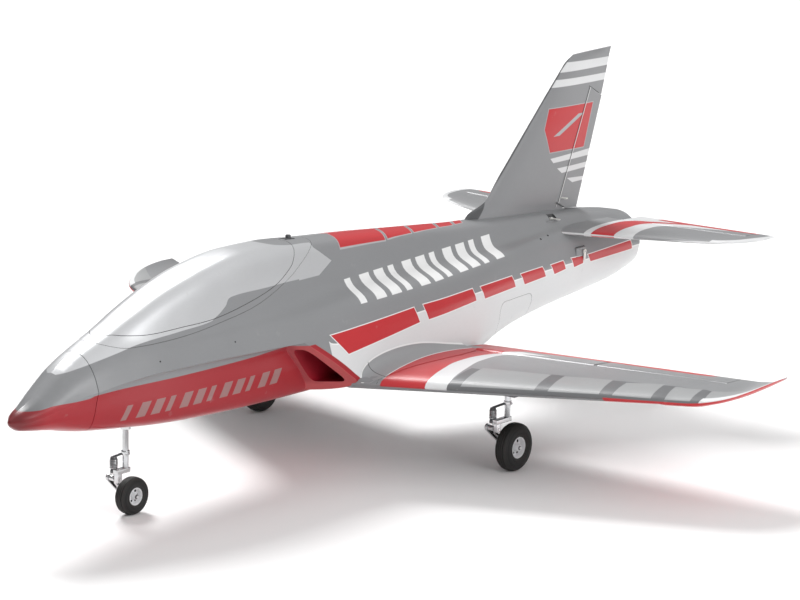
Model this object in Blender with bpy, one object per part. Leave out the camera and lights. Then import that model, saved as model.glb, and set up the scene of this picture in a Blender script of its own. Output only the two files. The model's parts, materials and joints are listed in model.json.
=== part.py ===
"""Ducted-fan sport jet, 1.06 m span, with retractable trailing-link landing gear.

Metres, +Z up.  The nose points along -Y, the port (left) side is +X, the wheels stand on z = 0
and y = 0 is half way along the model.  One object is one sub-part.
"""
import math

import bmesh
import bpy
from mathutils import Matrix, Vector

# ---------------------------------------------------------------- driving sizes
GAP = 0.0004                 # clearance between neighbouring parts
NOSE_Y = -0.6095             # tip of the nose cone
TAIL_Y = 0.6050              # rear face of the fuselage
NOSE_SEAM_Y = -0.510         # joint between the nose cone and the fuselage
HATCH_REAR_Y = -0.104        # rear end of the canopy hatch
BATTERY_BAY = (0.030, -0.440, -0.135, 0.161)       # half width, front, rear, floor height
GEAR_BAY = (0.026, -0.456, -0.286, 0.157)          # half width, front, rear, ceiling height
THRUST_Z = 0.186             # height of the fan axis
NOZZLE_Z = 0.2035            # height of the nozzle centre
FAN_Y = 0.250                # rotor plane
FAN_RADIUS = 0.040
DUCT_MOUTH = Vector((0.0745, -0.215, 0.1520))      # centre of the port intake mouth

HINGE_IN = Vector((0.112, 0.1200, 0.1268))         # inner end of the wing hinge line
HINGE_OUT = Vector((0.468, 0.1790, 0.1338))        # outer end of the wing hinge line
FLAP_SPAN = (0.004, 0.480)   # fractions of the wing hinge line
AILERON_SPAN = (0.492, 0.990)

RUDDER_LOW = Vector((0.0, 0.4470, 0.2760))
RUDDER_HIGH = Vector((0.0, 0.5195, 0.4370))
ELEVATOR_IN = Vector((0.0560, 0.5420, 0.2425))
ELEVATOR_OUT = Vector((0.2480, 0.5660, 0.2436))

MAIN_X = 0.2186              # wheel plane of the port main gear
MAIN_PIVOT = Vector((MAIN_X, 0.0480, 0.1130))
MAIN_KNEE = Vector((MAIN_X, 0.0270, 0.0620))
MAIN_AXLE = Vector((MAIN_X, 0.0644, 0.0315))
MAIN_WHEEL = (0.0315, 0.0100, 0.0140)              # tyre radius, half width, rim radius
NOSE_PIVOT = Vector((0.0, -0.4237, 0.1280))
NOSE_KNEE = Vector((0.0, -0.4360, 0.0480))
NOSE_AXLE = Vector((0.0, -0.4126, 0.0232))
NOSE_WHEEL = (0.0232, 0.0085, 0.0108)

WELL_CEILING = 0.1285        # top of the main wheel wells
WING_SPAR_Y = -0.010
WING_SPAR_Z = 0.1215
STAB_SPAR = (0.4900, 0.2425)                       # y and z of the tailplane joiner
AILERON_SERVO = Vector((0.375, 0.118, 0.1268))
FLAP_SERVO = Vector((0.292, 0.098, 0.1240))
RUDDER_SERVO = Vector((0.020, 0.405, 0.2530))
ELEVATOR_SERVO = Vector((0.0480, 0.440, 0.2130))

# Fuselage sections.  Each row is a station along Y, then the half section as (x, z) pairs from
# the top centre line down to the bottom centre line:
#   top, crown, waist under the canopy, shoulder, chine, under-chine, side, corner, floor, bottom
SECTION_NAMES = ("top", "crown", "waist", "shoulder", "chine", "under", "side", "corner", "floor", "bottom")
FRONT_SECTIONS = [
    (-0.6095, (0, .1540), (.0020, .1535), (.0035, .1525), (.0042, .1515), (.0045, .1500),
     (.0042, .1488), (.0038, .1478), (.0030, .1468), (.0015, .1462), (0, .1460)),
    (-0.6020, (0, .1600), (.0060, .1588), (.0095, .1565), (.0112, .1535), (.0118, .1500),
     (.0112, .1470), (.0100, .1445), (.0078, .1422), (.0040, .1408), (0, .1404)),
    (-0.5857, (0, .1685), (.0090, .1665), (.0150, .1628), (.0182, .1585), (.0195, .1530),
     (.0187, .1488), (.0170, .1445), (.0132, .1405), (.0065, .1378), (0, .1370)),
    (-0.5600, (0, .1870), (.0125, .1840), (.0210, .1780), (.0268, .1700), (.0295, .1610),
     (.0278, .1540), (.0250, .1460), (.0190, .1385), (.0095, .1345), (0, .1335)),
    (-0.5350, (0, .2050), (.0145, .2015), (.0240, .1940), (.0315, .1830), (.0360, .1695),
     (.0340, .1590), (.0305, .1460), (.0235, .1345), (.0115, .1290), (0, .1275)),
    (-0.5100, (0, .2180), (.0150, .2145), (.0265, .2055), (.0355, .1925), (.0420, .1755),
     (.0390, .1660), (.0350, .1480), (.0275, .1315), (.0135, .1245), (0, .1228)),
    (-0.4633, (0, .2379), (.0190, .2335), (.0310, .2190), (.0410, .2025), (.0500, .1825),
     (.0450, .1745), (.0420, .1500), (.0345, .1275), (.0170, .1190), (0, .1172)),
    (-0.4208, (0, .2574), (.0240, .2510), (.0380, .2235), (.0475, .2075), (.0565, .1862),
     (.0500, .1790), (.0470, .1500), (.0390, .1235), (.0195, .1145), (0, .1125)),
    (-0.3779, (0, .2742), (.0275, .2665), (.0430, .2245), (.0520, .2095), (.0615, .1874),
     (.0530, .1800), (.0505, .1490), (.0425, .1205), (.0210, .1115), (0, .1100)),
    (-0.3200, (0, .2900), (.0310, .2820), (.0475, .2270), (.0570, .2110), (.0670, .1882),
     (.0560, .1800), (.0535, .1480), (.0450, .1180), (.0225, .1095), (0, .1082)),
    (-0.2431, (0, .3017), (.0320, .2935), (.0500, .2330), (.0625, .2135), (.0745, .1882),
     (.0590, .1800), (.0560, .1470), (.0470, .1165), (.0235, .1078), (0, .1066)),
    (-0.1771, (0, .3031), (.0305, .2950), (.0490, .2370), (.0680, .2165), (.0805, .1878),
     (.0580, .1790), (.0555, .1465), (.0470, .1160), (.0235, .1072), (0, .1060)),
    (-0.1089, (0, .3000), (.0285, .2915), (.0460, .2420), (.0730, .2205), (.0865, .1890),
     (.0560, .1770), (.0545, .1460), (.0470, .1160), (.0235, .1072), (0, .1060)),
    (-0.0300, (0, .2960), (.0260, .2875), (.0435, .2440), (.0750, .2240), (.0885, .1905),
     (.0560, .1770), (.0545, .1460), (.0470, .1165), (.0235, .1075), (0, .1064)),
]
REAR_SECTIONS = [
    (-0.2150, (0, .2700), (.0200, .2600), (.0400, .2360), (.0650, .2140), (.0770, .1878),
     (.0850, .1650), (.0930, .1420), (.0950, .1290), (.0700, .1180), (0, .1150)),
    (-0.1089, (0, .2999), (.0284, .2914), (.0459, .2419), (.0729, .2204), (.0865, .1890),
     (.0930, .1660), (.0985, .1420), (.0990, .1270), (.0720, .1165), (0, .1110)),
    (-0.0300, (0, .2960), (.0260, .2875), (.0435, .2440), (.0750, .2240), (.0888, .1905),
     (.0940, .1670), (.0985, .1420), (.0985, .1230), (.0720, .1110), (0, .1060)),
    (0.0600, (0, .2900), (.0238, .2815), (.0415, .2440), (.0750, .2255), (.0888, .1930),
     (.0925, .1680), (.0950, .1420), (.0940, .1200), (.0680, .1090), (0, .1065)),
    (0.1300, (0, .2850), (.0222, .2768), (.0395, .2435), (.0705, .2265), (.0840, .1950),
     (.0860, .1690), (.0865, .1420), (.0835, .1200), (.0600, .1095), (0, .1072)),
    (0.2000, (0, .2800), (.0208, .2722), (.0370, .2440), (.0640, .2290), (.0760, .1970),
     (.0760, .1700), (.0740, .1420), (.0660, .1210), (.0450, .1110), (0, .1085)),
    (0.2450, (0, .2782), (.0198, .2708), (.0350, .2450), (.0590, .2315), (.0705, .1985),
     (.0698, .1720), (.0650, .1450), (.0530, .1260), (.0320, .1175), (0, .1155)),
    (0.3000, (0, .2755), (.0188, .2690), (.0330, .2470), (.0530, .2340), (.0640, .2000),
     (.0628, .1760), (.0570, .1500), (.0440, .1335), (.0250, .1275), (0, .1262)),
    (0.4000, (0, .2700), (.0180, .2655), (.0310, .2510), (.0460, .2390), (.0565, .2030),
     (.0550, .1820), (.0490, .1590), (.0370, .1445), (.0210, .1390), (0, .1375)),
    (0.5000, (0, .2625), (.0185, .2590), (.0300, .2510), (.0420, .2390), (.0505, .2050),
     (.0490, .1850), (.0430, .1650), (.0330, .1530), (.0180, .1475), (0, .1460)),
    (0.5538, (0, .2564), (.0172, .2530), (.0280, .2465), (.0395, .2340), (.0475, .2045),
     (.0455, .1850), (.0395, .1685), (.0295, .1580), (.0165, .1530), (0, .1515)),
    (0.6050, (0, .2475), (.0168, .2441), (.0311, .2346), (.0406, .2204), (.0440, .2035),
     (.0406, .1867), (.0349, .1767), (.0253, .1675), (.0135, .1616), (0, .1595)),
]
# Lower edge of the canopy hatch as seen from the side: (y, z) from its front tip to its rear tip.
HATCH_EDGE = [(-0.4930, .2275), (-0.4630, .2185), (-0.4350, .2175), (-0.3740, .2200), (-0.3187, .2264),
              (-0.2447, .2391), (-0.1850, .2593), (-0.1490, .2775), (-0.1240, .2918), (HATCH_REAR_Y, .3020)]


# ---------------------------------------------------------------- scene and material helpers
def clear_scene():
    for item in list(bpy.data.objects):
        bpy.data.objects.remove(item, do_unlink=True)


def material(name, colour, roughness=0.5, metallic=0.0):
    found = bpy.data.materials.get(name)
    if found:
        return found
    made = bpy.data.materials.new(name)
    made.use_nodes = True
    shader = made.node_tree.nodes["Principled BSDF"]
    shader.inputs["Base Color"].default_value = (*colour, 1.0)
    shader.inputs["Roughness"].default_value = roughness
    shader.inputs["Metallic"].default_value = metallic
    return made


def paint_grey():
    return material("paint_grey", (0.23, 0.23, 0.235), 0.38)


def paint_silver():
    return material("paint_silver", (0.62, 0.62, 0.63), 0.25)


def paint_red():
    return material("paint_red", (0.60, 0.035, 0.045), 0.35)


def dark_plastic():
    return material("dark_plastic", (0.03, 0.03, 0.032), 0.5)


def light_plastic():
    return material("light_plastic", (0.75, 0.75, 0.74), 0.45)


def polished_metal():
    return material("polished_metal", (0.62, 0.62, 0.63), 0.25, 1.0)


def black_rubber():
    return material("black_rubber", (0.02, 0.02, 0.022), 0.8)


def carbon_tube():
    return material("carbon_tube", (0.02, 0.02, 0.022), 0.35)


def blue_wrap():
    return material("blue_wrap", (0.03, 0.08, 0.30), 0.35)


def add_object(name, mesh, paint):
    made = bpy.data.objects.new(name, mesh)
    bpy.context.scene.collection.objects.link(made)
    if paint is not None:
        mesh.materials.clear()
        mesh.materials.append(paint)
    return made


def mesh_from(name, verts, faces, paint=None):
    mesh = bpy.data.meshes.new(name)
    mesh.from_pydata([tuple(v) for v in verts], [], faces)
    work = bmesh.new()
    work.from_mesh(mesh)
    bmesh.ops.remove_doubles(work, verts=work.verts, dist=1e-6)
    bmesh.ops.recalc_face_normals(work, faces=work.faces)
    work.to_mesh(mesh)
    work.free()
    return add_object(name, mesh, paint)


# ---------------------------------------------------------------- solid helpers
def loft(name, rings, paint=None):
    """Closed solid through rings of equal length, with both ends capped."""
    count = len(rings[0])
    verts = [v for ring in rings for v in ring]
    faces = []
    for level in range(len(rings) - 1):
        for k in range(count):
            a = level * count + k
            b = level * count + (k + 1) % count
            faces.append((a, b, b + count, a + count))
    faces.append(tuple(range(count)))
    faces.append(tuple(range((len(rings) - 1) * count, len(rings) * count)))
    return mesh_from(name, verts, faces, paint)


def box(name, low, high, paint=None):
    x0, y0, z0 = low
    x1, y1, z1 = high
    bottom = [(x0, y0, z0), (x1, y0, z0), (x1, y1, z0), (x0, y1, z0)]
    top = [(x0, y0, z1), (x1, y0, z1), (x1, y1, z1), (x0, y1, z1)]
    return loft(name, [bottom, top], paint)


def axis_frame(axis):
    along = Vector(axis).normalized()
    side = along.orthogonal().normalized()
    if abs(along.z) < 0.9:
        side = Vector((0, 0, 1)).cross(along).normalized()
    return along, side, along.cross(side)


def rod(name, start, end, radius, paint=None, sides=12, end_radius=None):
    """Cylinder or cone between two points."""
    start, end = Vector(start), Vector(end)
    along, side, other = axis_frame(end - start)
    rings = []
    for centre, size in ((start, radius), (end, radius if end_radius is None else end_radius)):
        ring = []
        for k in range(sides):
            turn = 2 * math.pi * k / sides
            ring.append(centre + side * size * math.cos(turn) + other * size * math.sin(turn))
        rings.append(ring)
    return loft(name, rings, paint)


def lathe(name, profile, centre, axis, paint=None, sides=28):
    """Ring of revolution: a closed (radius, along) profile turned about an axis, radii all above 0."""
    along, side, other = axis_frame(axis)
    centre = Vector(centre)
    count = len(profile)
    verts, faces = [], []
    for k in range(sides):
        turn = 2 * math.pi * k / sides
        out = side * math.cos(turn) + other * math.sin(turn)
        verts += [centre + out * radius + along * reach for radius, reach in profile]
    for k in range(sides):
        ring, after = k * count, ((k + 1) % sides) * count
        for j in range(count):
            i = (j + 1) % count
            faces.append((ring + j, ring + i, after + i, after + j))
    return mesh_from(name, verts, faces, paint)


def combine(target, tool, operation):
    """Boolean that is applied at once; the tool is removed."""
    step = target.modifiers.new("step", "BOOLEAN")
    step.operation = operation
    step.solver = "EXACT"
    step.object = tool
    graph = bpy.context.evaluated_depsgraph_get()
    result = bpy.data.meshes.new_from_object(target.evaluated_get(graph))
    target.modifiers.clear()
    target.data = result
    bpy.data.objects.remove(tool, do_unlink=True)
    return target


def cut(target, *tools):
    for tool in tools:
        combine(target, tool, "DIFFERENCE")
    return target


def join(target, *tools):
    for tool in tools:
        combine(target, tool, "UNION")
    return target


def keep_common(target, tool):
    return combine(target, tool, "INTERSECT")


def copy_of(source, name):
    made = bpy.data.objects.new(name, source.data.copy())
    bpy.context.scene.collection.objects.link(made)
    return made


def finish(piece, origin=(0, 0, 0)):
    """Puts the piece's origin on its joint, welds slivers and makes its faces point outwards."""
    origin = Vector(origin)
    work = bmesh.new()
    work.from_mesh(piece.data)
    bmesh.ops.remove_doubles(work, verts=work.verts, dist=2e-6)
    bmesh.ops.dissolve_degenerate(work, edges=work.edges, dist=1e-6)
    bmesh.ops.triangulate(work, faces=work.faces)
    bmesh.ops.recalc_face_normals(work, faces=work.faces)
    bmesh.ops.translate(work, verts=work.verts, vec=-origin)
    work.to_mesh(piece.data)
    work.free()
    piece.location = origin
    return piece


def mirrored(source, name):
    """Starboard copy of a finished port piece."""
    mesh = source.data.copy()
    mesh.transform(Matrix.Diagonal((-1, 1, 1, 1)))
    mesh.flip_normals()
    made = bpy.data.objects.new(name, mesh)
    bpy.context.scene.collection.objects.link(made)
    made.location = (-source.location.x, source.location.y, source.location.z)
    return made


# ---------------------------------------------------------------- curves
def smooth(points, at):
    """Monotone cubic through (x, value) points."""
    if at <= points[0][0]:
        return points[0][1]
    if at >= points[-1][0]:
        return points[-1][1]
    slopes = [(b[1] - a[1]) / (b[0] - a[0]) for a, b in zip(points, points[1:])]
    k = max(i for i in range(len(points) - 1) if points[i][0] <= at)

    def tangent(i):
        if i == 0 or i == len(points) - 1:
            return slopes[0] if i == 0 else slopes[-1]
        before, after = slopes[i - 1], slopes[i]
        return 0.0 if before * after <= 0 else 2 * before * after / (before + after)

    width = points[k + 1][0] - points[k][0]
    t = (at - points[k][0]) / width
    start, end = points[k][1], points[k + 1][1]
    return ((2 * t**3 - 3 * t**2 + 1) * start + (t**3 - 2 * t**2 + t) * width * tangent(k)
            + (3 * t**2 - 2 * t**3) * end + (t**3 - t**2) * width * tangent(k + 1))


def curve_through(points, steps):
    """Catmull-Rom curve through 2-D points, with the given number of steps in each span."""
    extended = [points[0]] + list(points) + [points[-1]]
    out = []
    for a, b, c, d in zip(extended, extended[1:], extended[2:], extended[3:]):
        for step in range(steps):
            t = step / steps
            out.append(tuple(0.5 * (2 * q + (r - p) * t + (2 * p - 5 * q + 4 * r - s) * t * t
                                    + (3 * q - p - 3 * r + s) * t**3)
                             for p, q, r, s in zip(a, b, c, d)))
    out.append(tuple(points[-1]))
    return out


def fuselage_ring(sections, y, steps=2, grow=0.0):
    """Full section at y; the chine stays a sharp edge."""
    keys = []
    for column in range(1, len(SECTION_NAMES) + 1):
        xs = [(row[0], row[column][0]) for row in sections]
        zs = [(row[0], row[column][1]) for row in sections]
        keys.append((smooth(xs, y), smooth(zs, y)))
    upper = curve_through(keys[:5], steps)
    lower = curve_through(keys[4:], steps)
    half = upper + lower[1:]
    middle = 0.5 * (keys[0][1] + keys[-1][1])
    if grow:
        reach = max(x for x, _ in half)
        tall = keys[0][1] - middle
        half = [(x * (1 + grow / reach), middle + (z - middle) * (1 + grow / tall)) for x, z in half]
    port = [Vector((x, y, z)) for x, z in half]
    starboard = [Vector((-x, y, z)) for x, z in reversed(half[1:-1])]
    return port + starboard


def fuselage_body(name, sections, start, end, count, steps=2, grow=0.0, paint=None):
    stations = sorted({round(start + (end - start) * k / count, 5) for k in range(count + 1)})
    return loft(name, [fuselage_ring(sections, y, steps, grow) for y in stations], paint)


# ---------------------------------------------------------------- lifting surfaces
def aerofoil(steps=7):
    """Symmetric section as (chord fraction, half thickness fraction) from leading to trailing edge."""
    out = []
    for k in range(steps + 1):
        c = 0.5 - 0.5 * math.cos(math.pi * (k / steps) ** 0.92)
        thick = 5 * (0.2969 * math.sqrt(c) - 0.1260 * c - 0.3516 * c**2 + 0.2843 * c**3 - 0.1015 * c**4)
        out.append((c, thick))
    return out


def section_ring(lead, trail, thickness, normal, edge=0.0005, steps=7):
    lead, trail, normal = Vector(lead), Vector(trail), Vector(normal).normalized()
    over, under = [], []
    for c, half in aerofoil(steps):
        point = lead.lerp(trail, c)
        rise = max(half * thickness, edge * c) if c > 0 else 0.0
        over.append(point + normal * rise)
        under.append(point - normal * rise)
    return over + list(reversed(under[1:]))


def control_surface(name, start, end, radii, chords, normal, paint):
    """Round-nosed surface whose nose is centred on the hinge line from start to end."""
    start, end, normal = Vector(start), Vector(end), Vector(normal).normalized()
    along = (end - start).normalized()
    back = along.cross(normal).normalized()
    if back.y < 0:
        back = -back
    up = along.cross(back).normalized()
    rings = []
    for part in (0.0, 0.5, 1.0):
        centre = start.lerp(end, part)
        radius = radii[0] + (radii[1] - radii[0]) * part
        chord = chords[0] + (chords[1] - chords[0]) * part
        ring = []
        for k in range(7):
            turn = math.pi * k / 6
            ring.append(centre + up * radius * math.cos(turn) - back * radius * math.sin(turn))
        ring.append(centre + back * chord - up * 0.0005)
        ring.append(centre + back * chord + up * 0.0005)
        rings.append(ring)
    return loft(name, rings, paint)


def hinge_slot(start, end, radii, depth, normal, reach=0.05):
    """Cutter that clears a control surface: a flat face just ahead of its round nose."""
    start, end, normal = Vector(start), Vector(end), Vector(normal).normalized()
    along = (end - start).normalized()
    back = along.cross(normal).normalized()
    if back.y < 0:
        back = -back
    rings = []
    for centre, radius, step in ((start, radii[0], -0.0008), (end, radii[1], 0.0008)):
        front = centre + along * step - back * (radius + 0.0006)
        rear = centre + along * step + back * depth
        rings.append([front + normal * reach, rear + normal * reach, rear - normal * reach, front - normal * reach])
    return loft("slot_tool", rings)


def hinge_point(part):
    return HINGE_IN.lerp(HINGE_OUT, part)


def wing_lead(x):
    return -0.1142 + 0.494 * (x - 0.10)


def wing_trail(x):
    return 0.1730 + 0.130 * (x - 0.07)


def wing_height(x):
    return 0.1262 + 0.0205 * (x - 0.10)


def wing_solid(name, inner_x=0.070):
    """Port wing with its raked, slightly upturned tip."""
    rings = []
    for x in (inner_x, 0.125, 0.22, 0.33, 0.44, 0.4775):
        lead = (x, wing_lead(x), wing_height(x))
        trail = (x, wing_trail(x), wing_height(x) + 0.0004)
        chord = trail[1] - lead[1]
        rings.append(section_ring(lead, trail, 0.104 * chord, (0, 0, 1)))
    tip = [(0.4920, 0.0825, 0.2258, 0.1358, 0.0125), (0.5080, 0.1000, 0.2230, 0.1393, 0.0090),
           (0.5200, 0.1230, 0.2195, 0.1440, 0.0062), (0.5270, 0.1530, 0.2155, 0.1486, 0.0040),
           (0.5298, 0.1800, 0.2120, 0.1512, 0.0022)]
    for x, lead_y, trail_y, height, thickness in tip:
        rings.append(section_ring((x, lead_y, height - 0.0015), (x, trail_y, height), thickness, (0, 0, 1)))
    return loft(name, rings, paint_grey())


def surface_radius(part):
    return 0.0088 + (0.0050 - 0.0088) * part


def wing_surfaces():
    """Port flap and aileron, and the hinge slots that clear them."""
    made, slots = [], []
    for name, span, lever in (("flap", FLAP_SPAN, 0.92), ("aileron", AILERON_SPAN, 0.06)):
        start, end = hinge_point(span[0]), hinge_point(span[1])
        radii = (surface_radius(span[0]), surface_radius(span[1]))
        chords = tuple(wing_trail(p.x) - p.y for p in (start, end))
        piece = control_surface(name + "_left", start, end, radii, chords, (0, 0, 1), paint_grey())
        root = start.lerp(end, lever)
        horn = box("horn", root + Vector((-0.0010, 0.0015, -0.0190)), root + Vector((0.0010, 0.0100, 0.0010)))
        join(piece, horn)
        slots.append(hinge_slot(start, end, radii, 0.09, (0, 0, 1)))
        made.append(finish(piece, start))
    return made, slots


# ---------------------------------------------------------------- fuselage group
def hatch_profile(shift=0.0, inset=0.0):
    """Side view of the space above the hatch seam, as a prism across the model."""
    edge = [(y, z + shift) for y, z in HATCH_EDGE]
    outline = [(edge[0][0] - 0.03 - inset, edge[0][1] + 0.010)] + edge + [(edge[-1][0] + 0.030, 0.345), (-0.56, 0.345)]
    rings = []
    for x in (-0.12, 0.12):
        rings.append([Vector((x, y, z)) for y, z in outline])
    return loft("hatch_tool", rings)


def duct_tool(side):
    """Air path from one intake mouth to the fan face."""
    path = [(DUCT_MOUTH.y, 0.0745, 0.1520, 0.0170, 0.0210), (-0.1000, 0.0735, 0.1500, 0.0165, 0.0205),
            (-0.0100, 0.0680, 0.1560, 0.0190, 0.0230), (0.0700, 0.0530, 0.1660, 0.0230, 0.0270),
            (0.1400, 0.0300, 0.1780, 0.0280, 0.0320), (0.2050, 0.0060, THRUST_Z, 0.0340, 0.0380)]
    stations = [DUCT_MOUTH.y + (0.2050 - DUCT_MOUTH.y) * k / 9 for k in range(10)]
    rings = []
    for y in stations:
        cx, cz, half_w, half_h = (smooth([(row[0], row[i]) for row in path], y) for i in (1, 2, 3, 4))
        ring = []
        for k in range(16):
            turn = 2 * math.pi * k / 16
            px = math.copysign(abs(math.cos(turn)) ** 0.75, math.cos(turn))
            pz = math.copysign(abs(math.sin(turn)) ** 0.75, math.sin(turn))
            ring.append(Vector((side * (cx + half_w * px), y, cz + half_h * pz)))
        rings.append(ring)
    return loft("duct_tool", rings)


def lip_tool(side):
    """Cuts the nacelle front to the raked intake lip."""
    top, outer, inner = Vector((0.080, -0.1850, 0.1835)), Vector((0.100, -0.1130, 0.1270)), Vector((0.050, -0.1570, 0.1260))
    normal = (outer - inner).cross(top - inner).normalized()
    if normal.y > 0:
        normal = -normal
    along = (outer - inner).normalized()
    across = normal.cross(along)
    rings = []
    for depth in (0.0, 0.30):
        centre = inner + normal * depth
        ring = []
        for u, v in ((-0.25, -0.25), (0.25, -0.25), (0.25, 0.25), (-0.25, 0.25)):
            spot = centre + along * u + across * v
            ring.append(Vector((side * spot.x, spot.y, spot.z)))
        rings.append(ring)
    return loft("lip_tool", rings)


def nacelle_solid(name, grow=0.0):
    """Rear body with both intake nacelles, from the raked lips to the tail."""
    body = fuselage_body(name, REAR_SECTIONS, -0.2150, TAIL_Y, 26, 2, grow)
    for side in (1, -1):
        half = box("half", (0.0 if side > 0 else -0.3, -0.30, 0.0), (0.3 if side > 0 else 0.0, 0.02, 0.40))
        keep_common(half, lip_tool(side))
        cut(body, half)
    return body


def outer_solid(name, grow=0.0):
    front = fuselage_body(name, FRONT_SECTIONS, NOSE_SEAM_Y + GAP, -0.0300, 15, 2, grow)
    return join(front, nacelle_solid("nacelle", grow))


def build_nose_cone():
    cone = fuselage_body("nose_cone", FRONT_SECTIONS, NOSE_Y, NOSE_SEAM_Y - GAP, 9, 2, 0.0, paint_red())
    hollow = rod("hollow", (0, -0.560, 0.155), (0, -0.500, 0.165), 0.012, None, 16, 0.026)
    cut(cone, hollow)
    return finish(cone)


def build_fuselage():
    body = outer_solid("fuselage")
    cut(body, hatch_profile())
    half, front, rear, floor = BATTERY_BAY
    cut(body, box("bay", (-half, front, floor), (half, rear, 0.40)))
    cut(body, box("radio_bay", (-0.024, -0.150, 0.165), (0.024, 0.060, 0.222)))
    half, front, rear, ceiling = GEAR_BAY
    cut(body, box("gear_bay", (-half, front, 0.02), (half, rear, ceiling)))
    cut(body, duct_tool(1), duct_tool(-1))
    cut(body, rod("fan_bay", (0, 0.196, THRUST_Z), (0, 0.330, THRUST_Z), 0.0462, None, 32))
    cut(body, exhaust_cone("exhaust", 0.0450, 0.0398, 0.04))
    cut(body, belly_cover_tool(0.0))
    cut(body, rod("spar_bore", (-0.2, WING_SPAR_Y, WING_SPAR_Z), (0.2, WING_SPAR_Y, WING_SPAR_Z), 0.0043))
    y, z = STAB_SPAR
    cut(body, rod("stab_bore", (-0.1, y, z), (0.1, y, z), 0.0023))
    for side in (1, -1):
        low = (side * MAIN_X - side * 0.0805, MAIN_AXLE.y, 0.05)
        cut(body, rod("well", low, (low[0], low[1], WELL_CEILING), 0.0415, None, 24))
        spot = Vector((side * ELEVATOR_SERVO.x, ELEVATOR_SERVO.y, ELEVATOR_SERVO.z))
        cut(body, box("servo_bay", spot + Vector((-0.0064, -0.0124, -0.0070)), spot + Vector((0.0064, 0.0124, 0.0070))))
    cut(body, box("servo_bay", RUDDER_SERVO + Vector((-0.0064, -0.0124, -0.0060)),
                  RUDDER_SERVO + Vector((0.0064, 0.0124, 0.03))))
    body.data.materials.clear()
    body.data.materials.append(paint_grey())
    return finish(body)


def belly_cover_tool(inset):
    return box("belly_tool", (-0.09, 0.226 + inset, 0.05), (0.09, 0.316 - inset, 0.1740 - inset))


def build_belly_hatch():
    cover = nacelle_solid("belly_hatch")
    keep_common(cover, belly_cover_tool(GAP))
    cut(cover, rod("fan_bay", (0, 0.15, THRUST_Z), (0, 0.40, THRUST_Z), 0.0462, None, 32))
    cover.data.materials.clear()
    cover.data.materials.append(paint_silver())
    return finish(cover)


def build_canopy():
    hatch = fuselage_body("canopy_hatch", FRONT_SECTIONS, NOSE_SEAM_Y + GAP, -0.0300, 15, 2)
    keep_common(hatch, hatch_profile(GAP))
    hollow = fuselage_body("hollow", FRONT_SECTIONS, -0.4550, -0.1450, 12, 2, -0.0065)
    cut(hollow, box("floor", (-0.2, -0.6, 0.0), (0.2, 0.1, 0.2)))
    cut(hatch, hollow)
    cut(hatch, box("latch_slot", (-0.0060, -0.1450, 0.2950), (0.0060, -0.1270, 0.33)))
    hatch.data.materials.clear()
    hatch.data.materials.append(paint_silver())
    finish(hatch)
    latch = box("canopy_latch", (-0.0055, -0.1405, 0.2954), (0.0055, -0.1275, 0.3022), dark_plastic())
    join(latch, rod("knob", (0, -0.134, 0.3020), (0, -0.134, 0.3060), 0.0035))
    finish(latch, (0, -0.134, 0.2954))
    latch.parent = hatch
    return hatch, latch


# ---------------------------------------------------------------- wings and tail
def inner_clear(grow=0.0006):
    return outer_solid("clear_tool", grow)


def build_wing():
    wing = wing_solid("wing_left")
    surfaces, slots = wing_surfaces()
    cut(wing, *slots)
    cut(wing, inner_clear())
    cut(wing, rod("spar_bore", (0.0, WING_SPAR_Y, WING_SPAR_Z), (0.204, WING_SPAR_Y, WING_SPAR_Z), 0.0043))
    fold_x = MAIN_X - 0.0805
    cut(wing, rod("well", (fold_x, MAIN_AXLE.y, 0.05), (fold_x, MAIN_AXLE.y, WELL_CEILING), 0.0415, None, 24))
    cut(wing, box("leg_slot", (fold_x, 0.012, 0.05), (MAIN_X + 0.012, 0.078, WELL_CEILING)))
    cut(wing, box("retract_bay", (MAIN_X - 0.0154, 0.0276, 0.05), (MAIN_X + 0.0254, 0.0684, 0.1314)))
    for spot in (AILERON_SERVO, FLAP_SERVO):
        cut(wing, box("servo_bay", spot + Vector((-0.0064, -0.0124, -0.03)), spot + Vector((0.0110, 0.0124, 0.0054))))
    finish(wing)
    return [wing] + surfaces


def build_tailplane():
    rings = []
    for x in (0.020, 0.080, 0.160, 0.225):
        lead = (x, 0.4050 + 0.470 * (x - 0.040), 0.2425)
        trail = (x, 0.6010, 0.2429)
        rings.append(section_ring(lead, trail, 0.072 * (trail[1] - lead[1]), (0, 0, 1), steps=6))
    for x, lead_y, trail_y, thick in ((0.2500, 0.5080, 0.6008, 0.0055), (0.2660, 0.5300, 0.6000, 0.0040),
                                      (0.2760, 0.5600, 0.5990, 0.0020)):
        rings.append(section_ring((x, lead_y, 0.2436), (x, trail_y, 0.2440), thick, (0, 0, 1), steps=6))
    stab = loft("stab_left", rings, paint_grey())
    radii, chords = (0.0045, 0.0026), (0.6010 - ELEVATOR_IN.y, 0.6010 - ELEVATOR_OUT.y)
    cut(stab, hinge_slot(ELEVATOR_IN - Vector((0.03, 0.004, 0)), ELEVATOR_OUT, (0.0047, radii[1]), 0.08, (0, 0, 1), 0.02))
    cut(stab, inner_clear())
    y, z = STAB_SPAR
    cut(stab, rod("stab_bore", (0.0, y, z), (0.150, y, z), 0.0023))
    finish(stab)
    elevator = control_surface("elevator_left", ELEVATOR_IN, ELEVATOR_OUT, radii, chords, (0, 0, 1), paint_red())
    root = ELEVATOR_IN + Vector((0.010, 0.0012, 0))
    join(elevator, box("horn", root + Vector((-0.001, -0.002, -0.016)), root + Vector((0.001, 0.007, 0.001))))
    finish(elevator, ELEVATOR_IN)
    return stab, elevator


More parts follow.
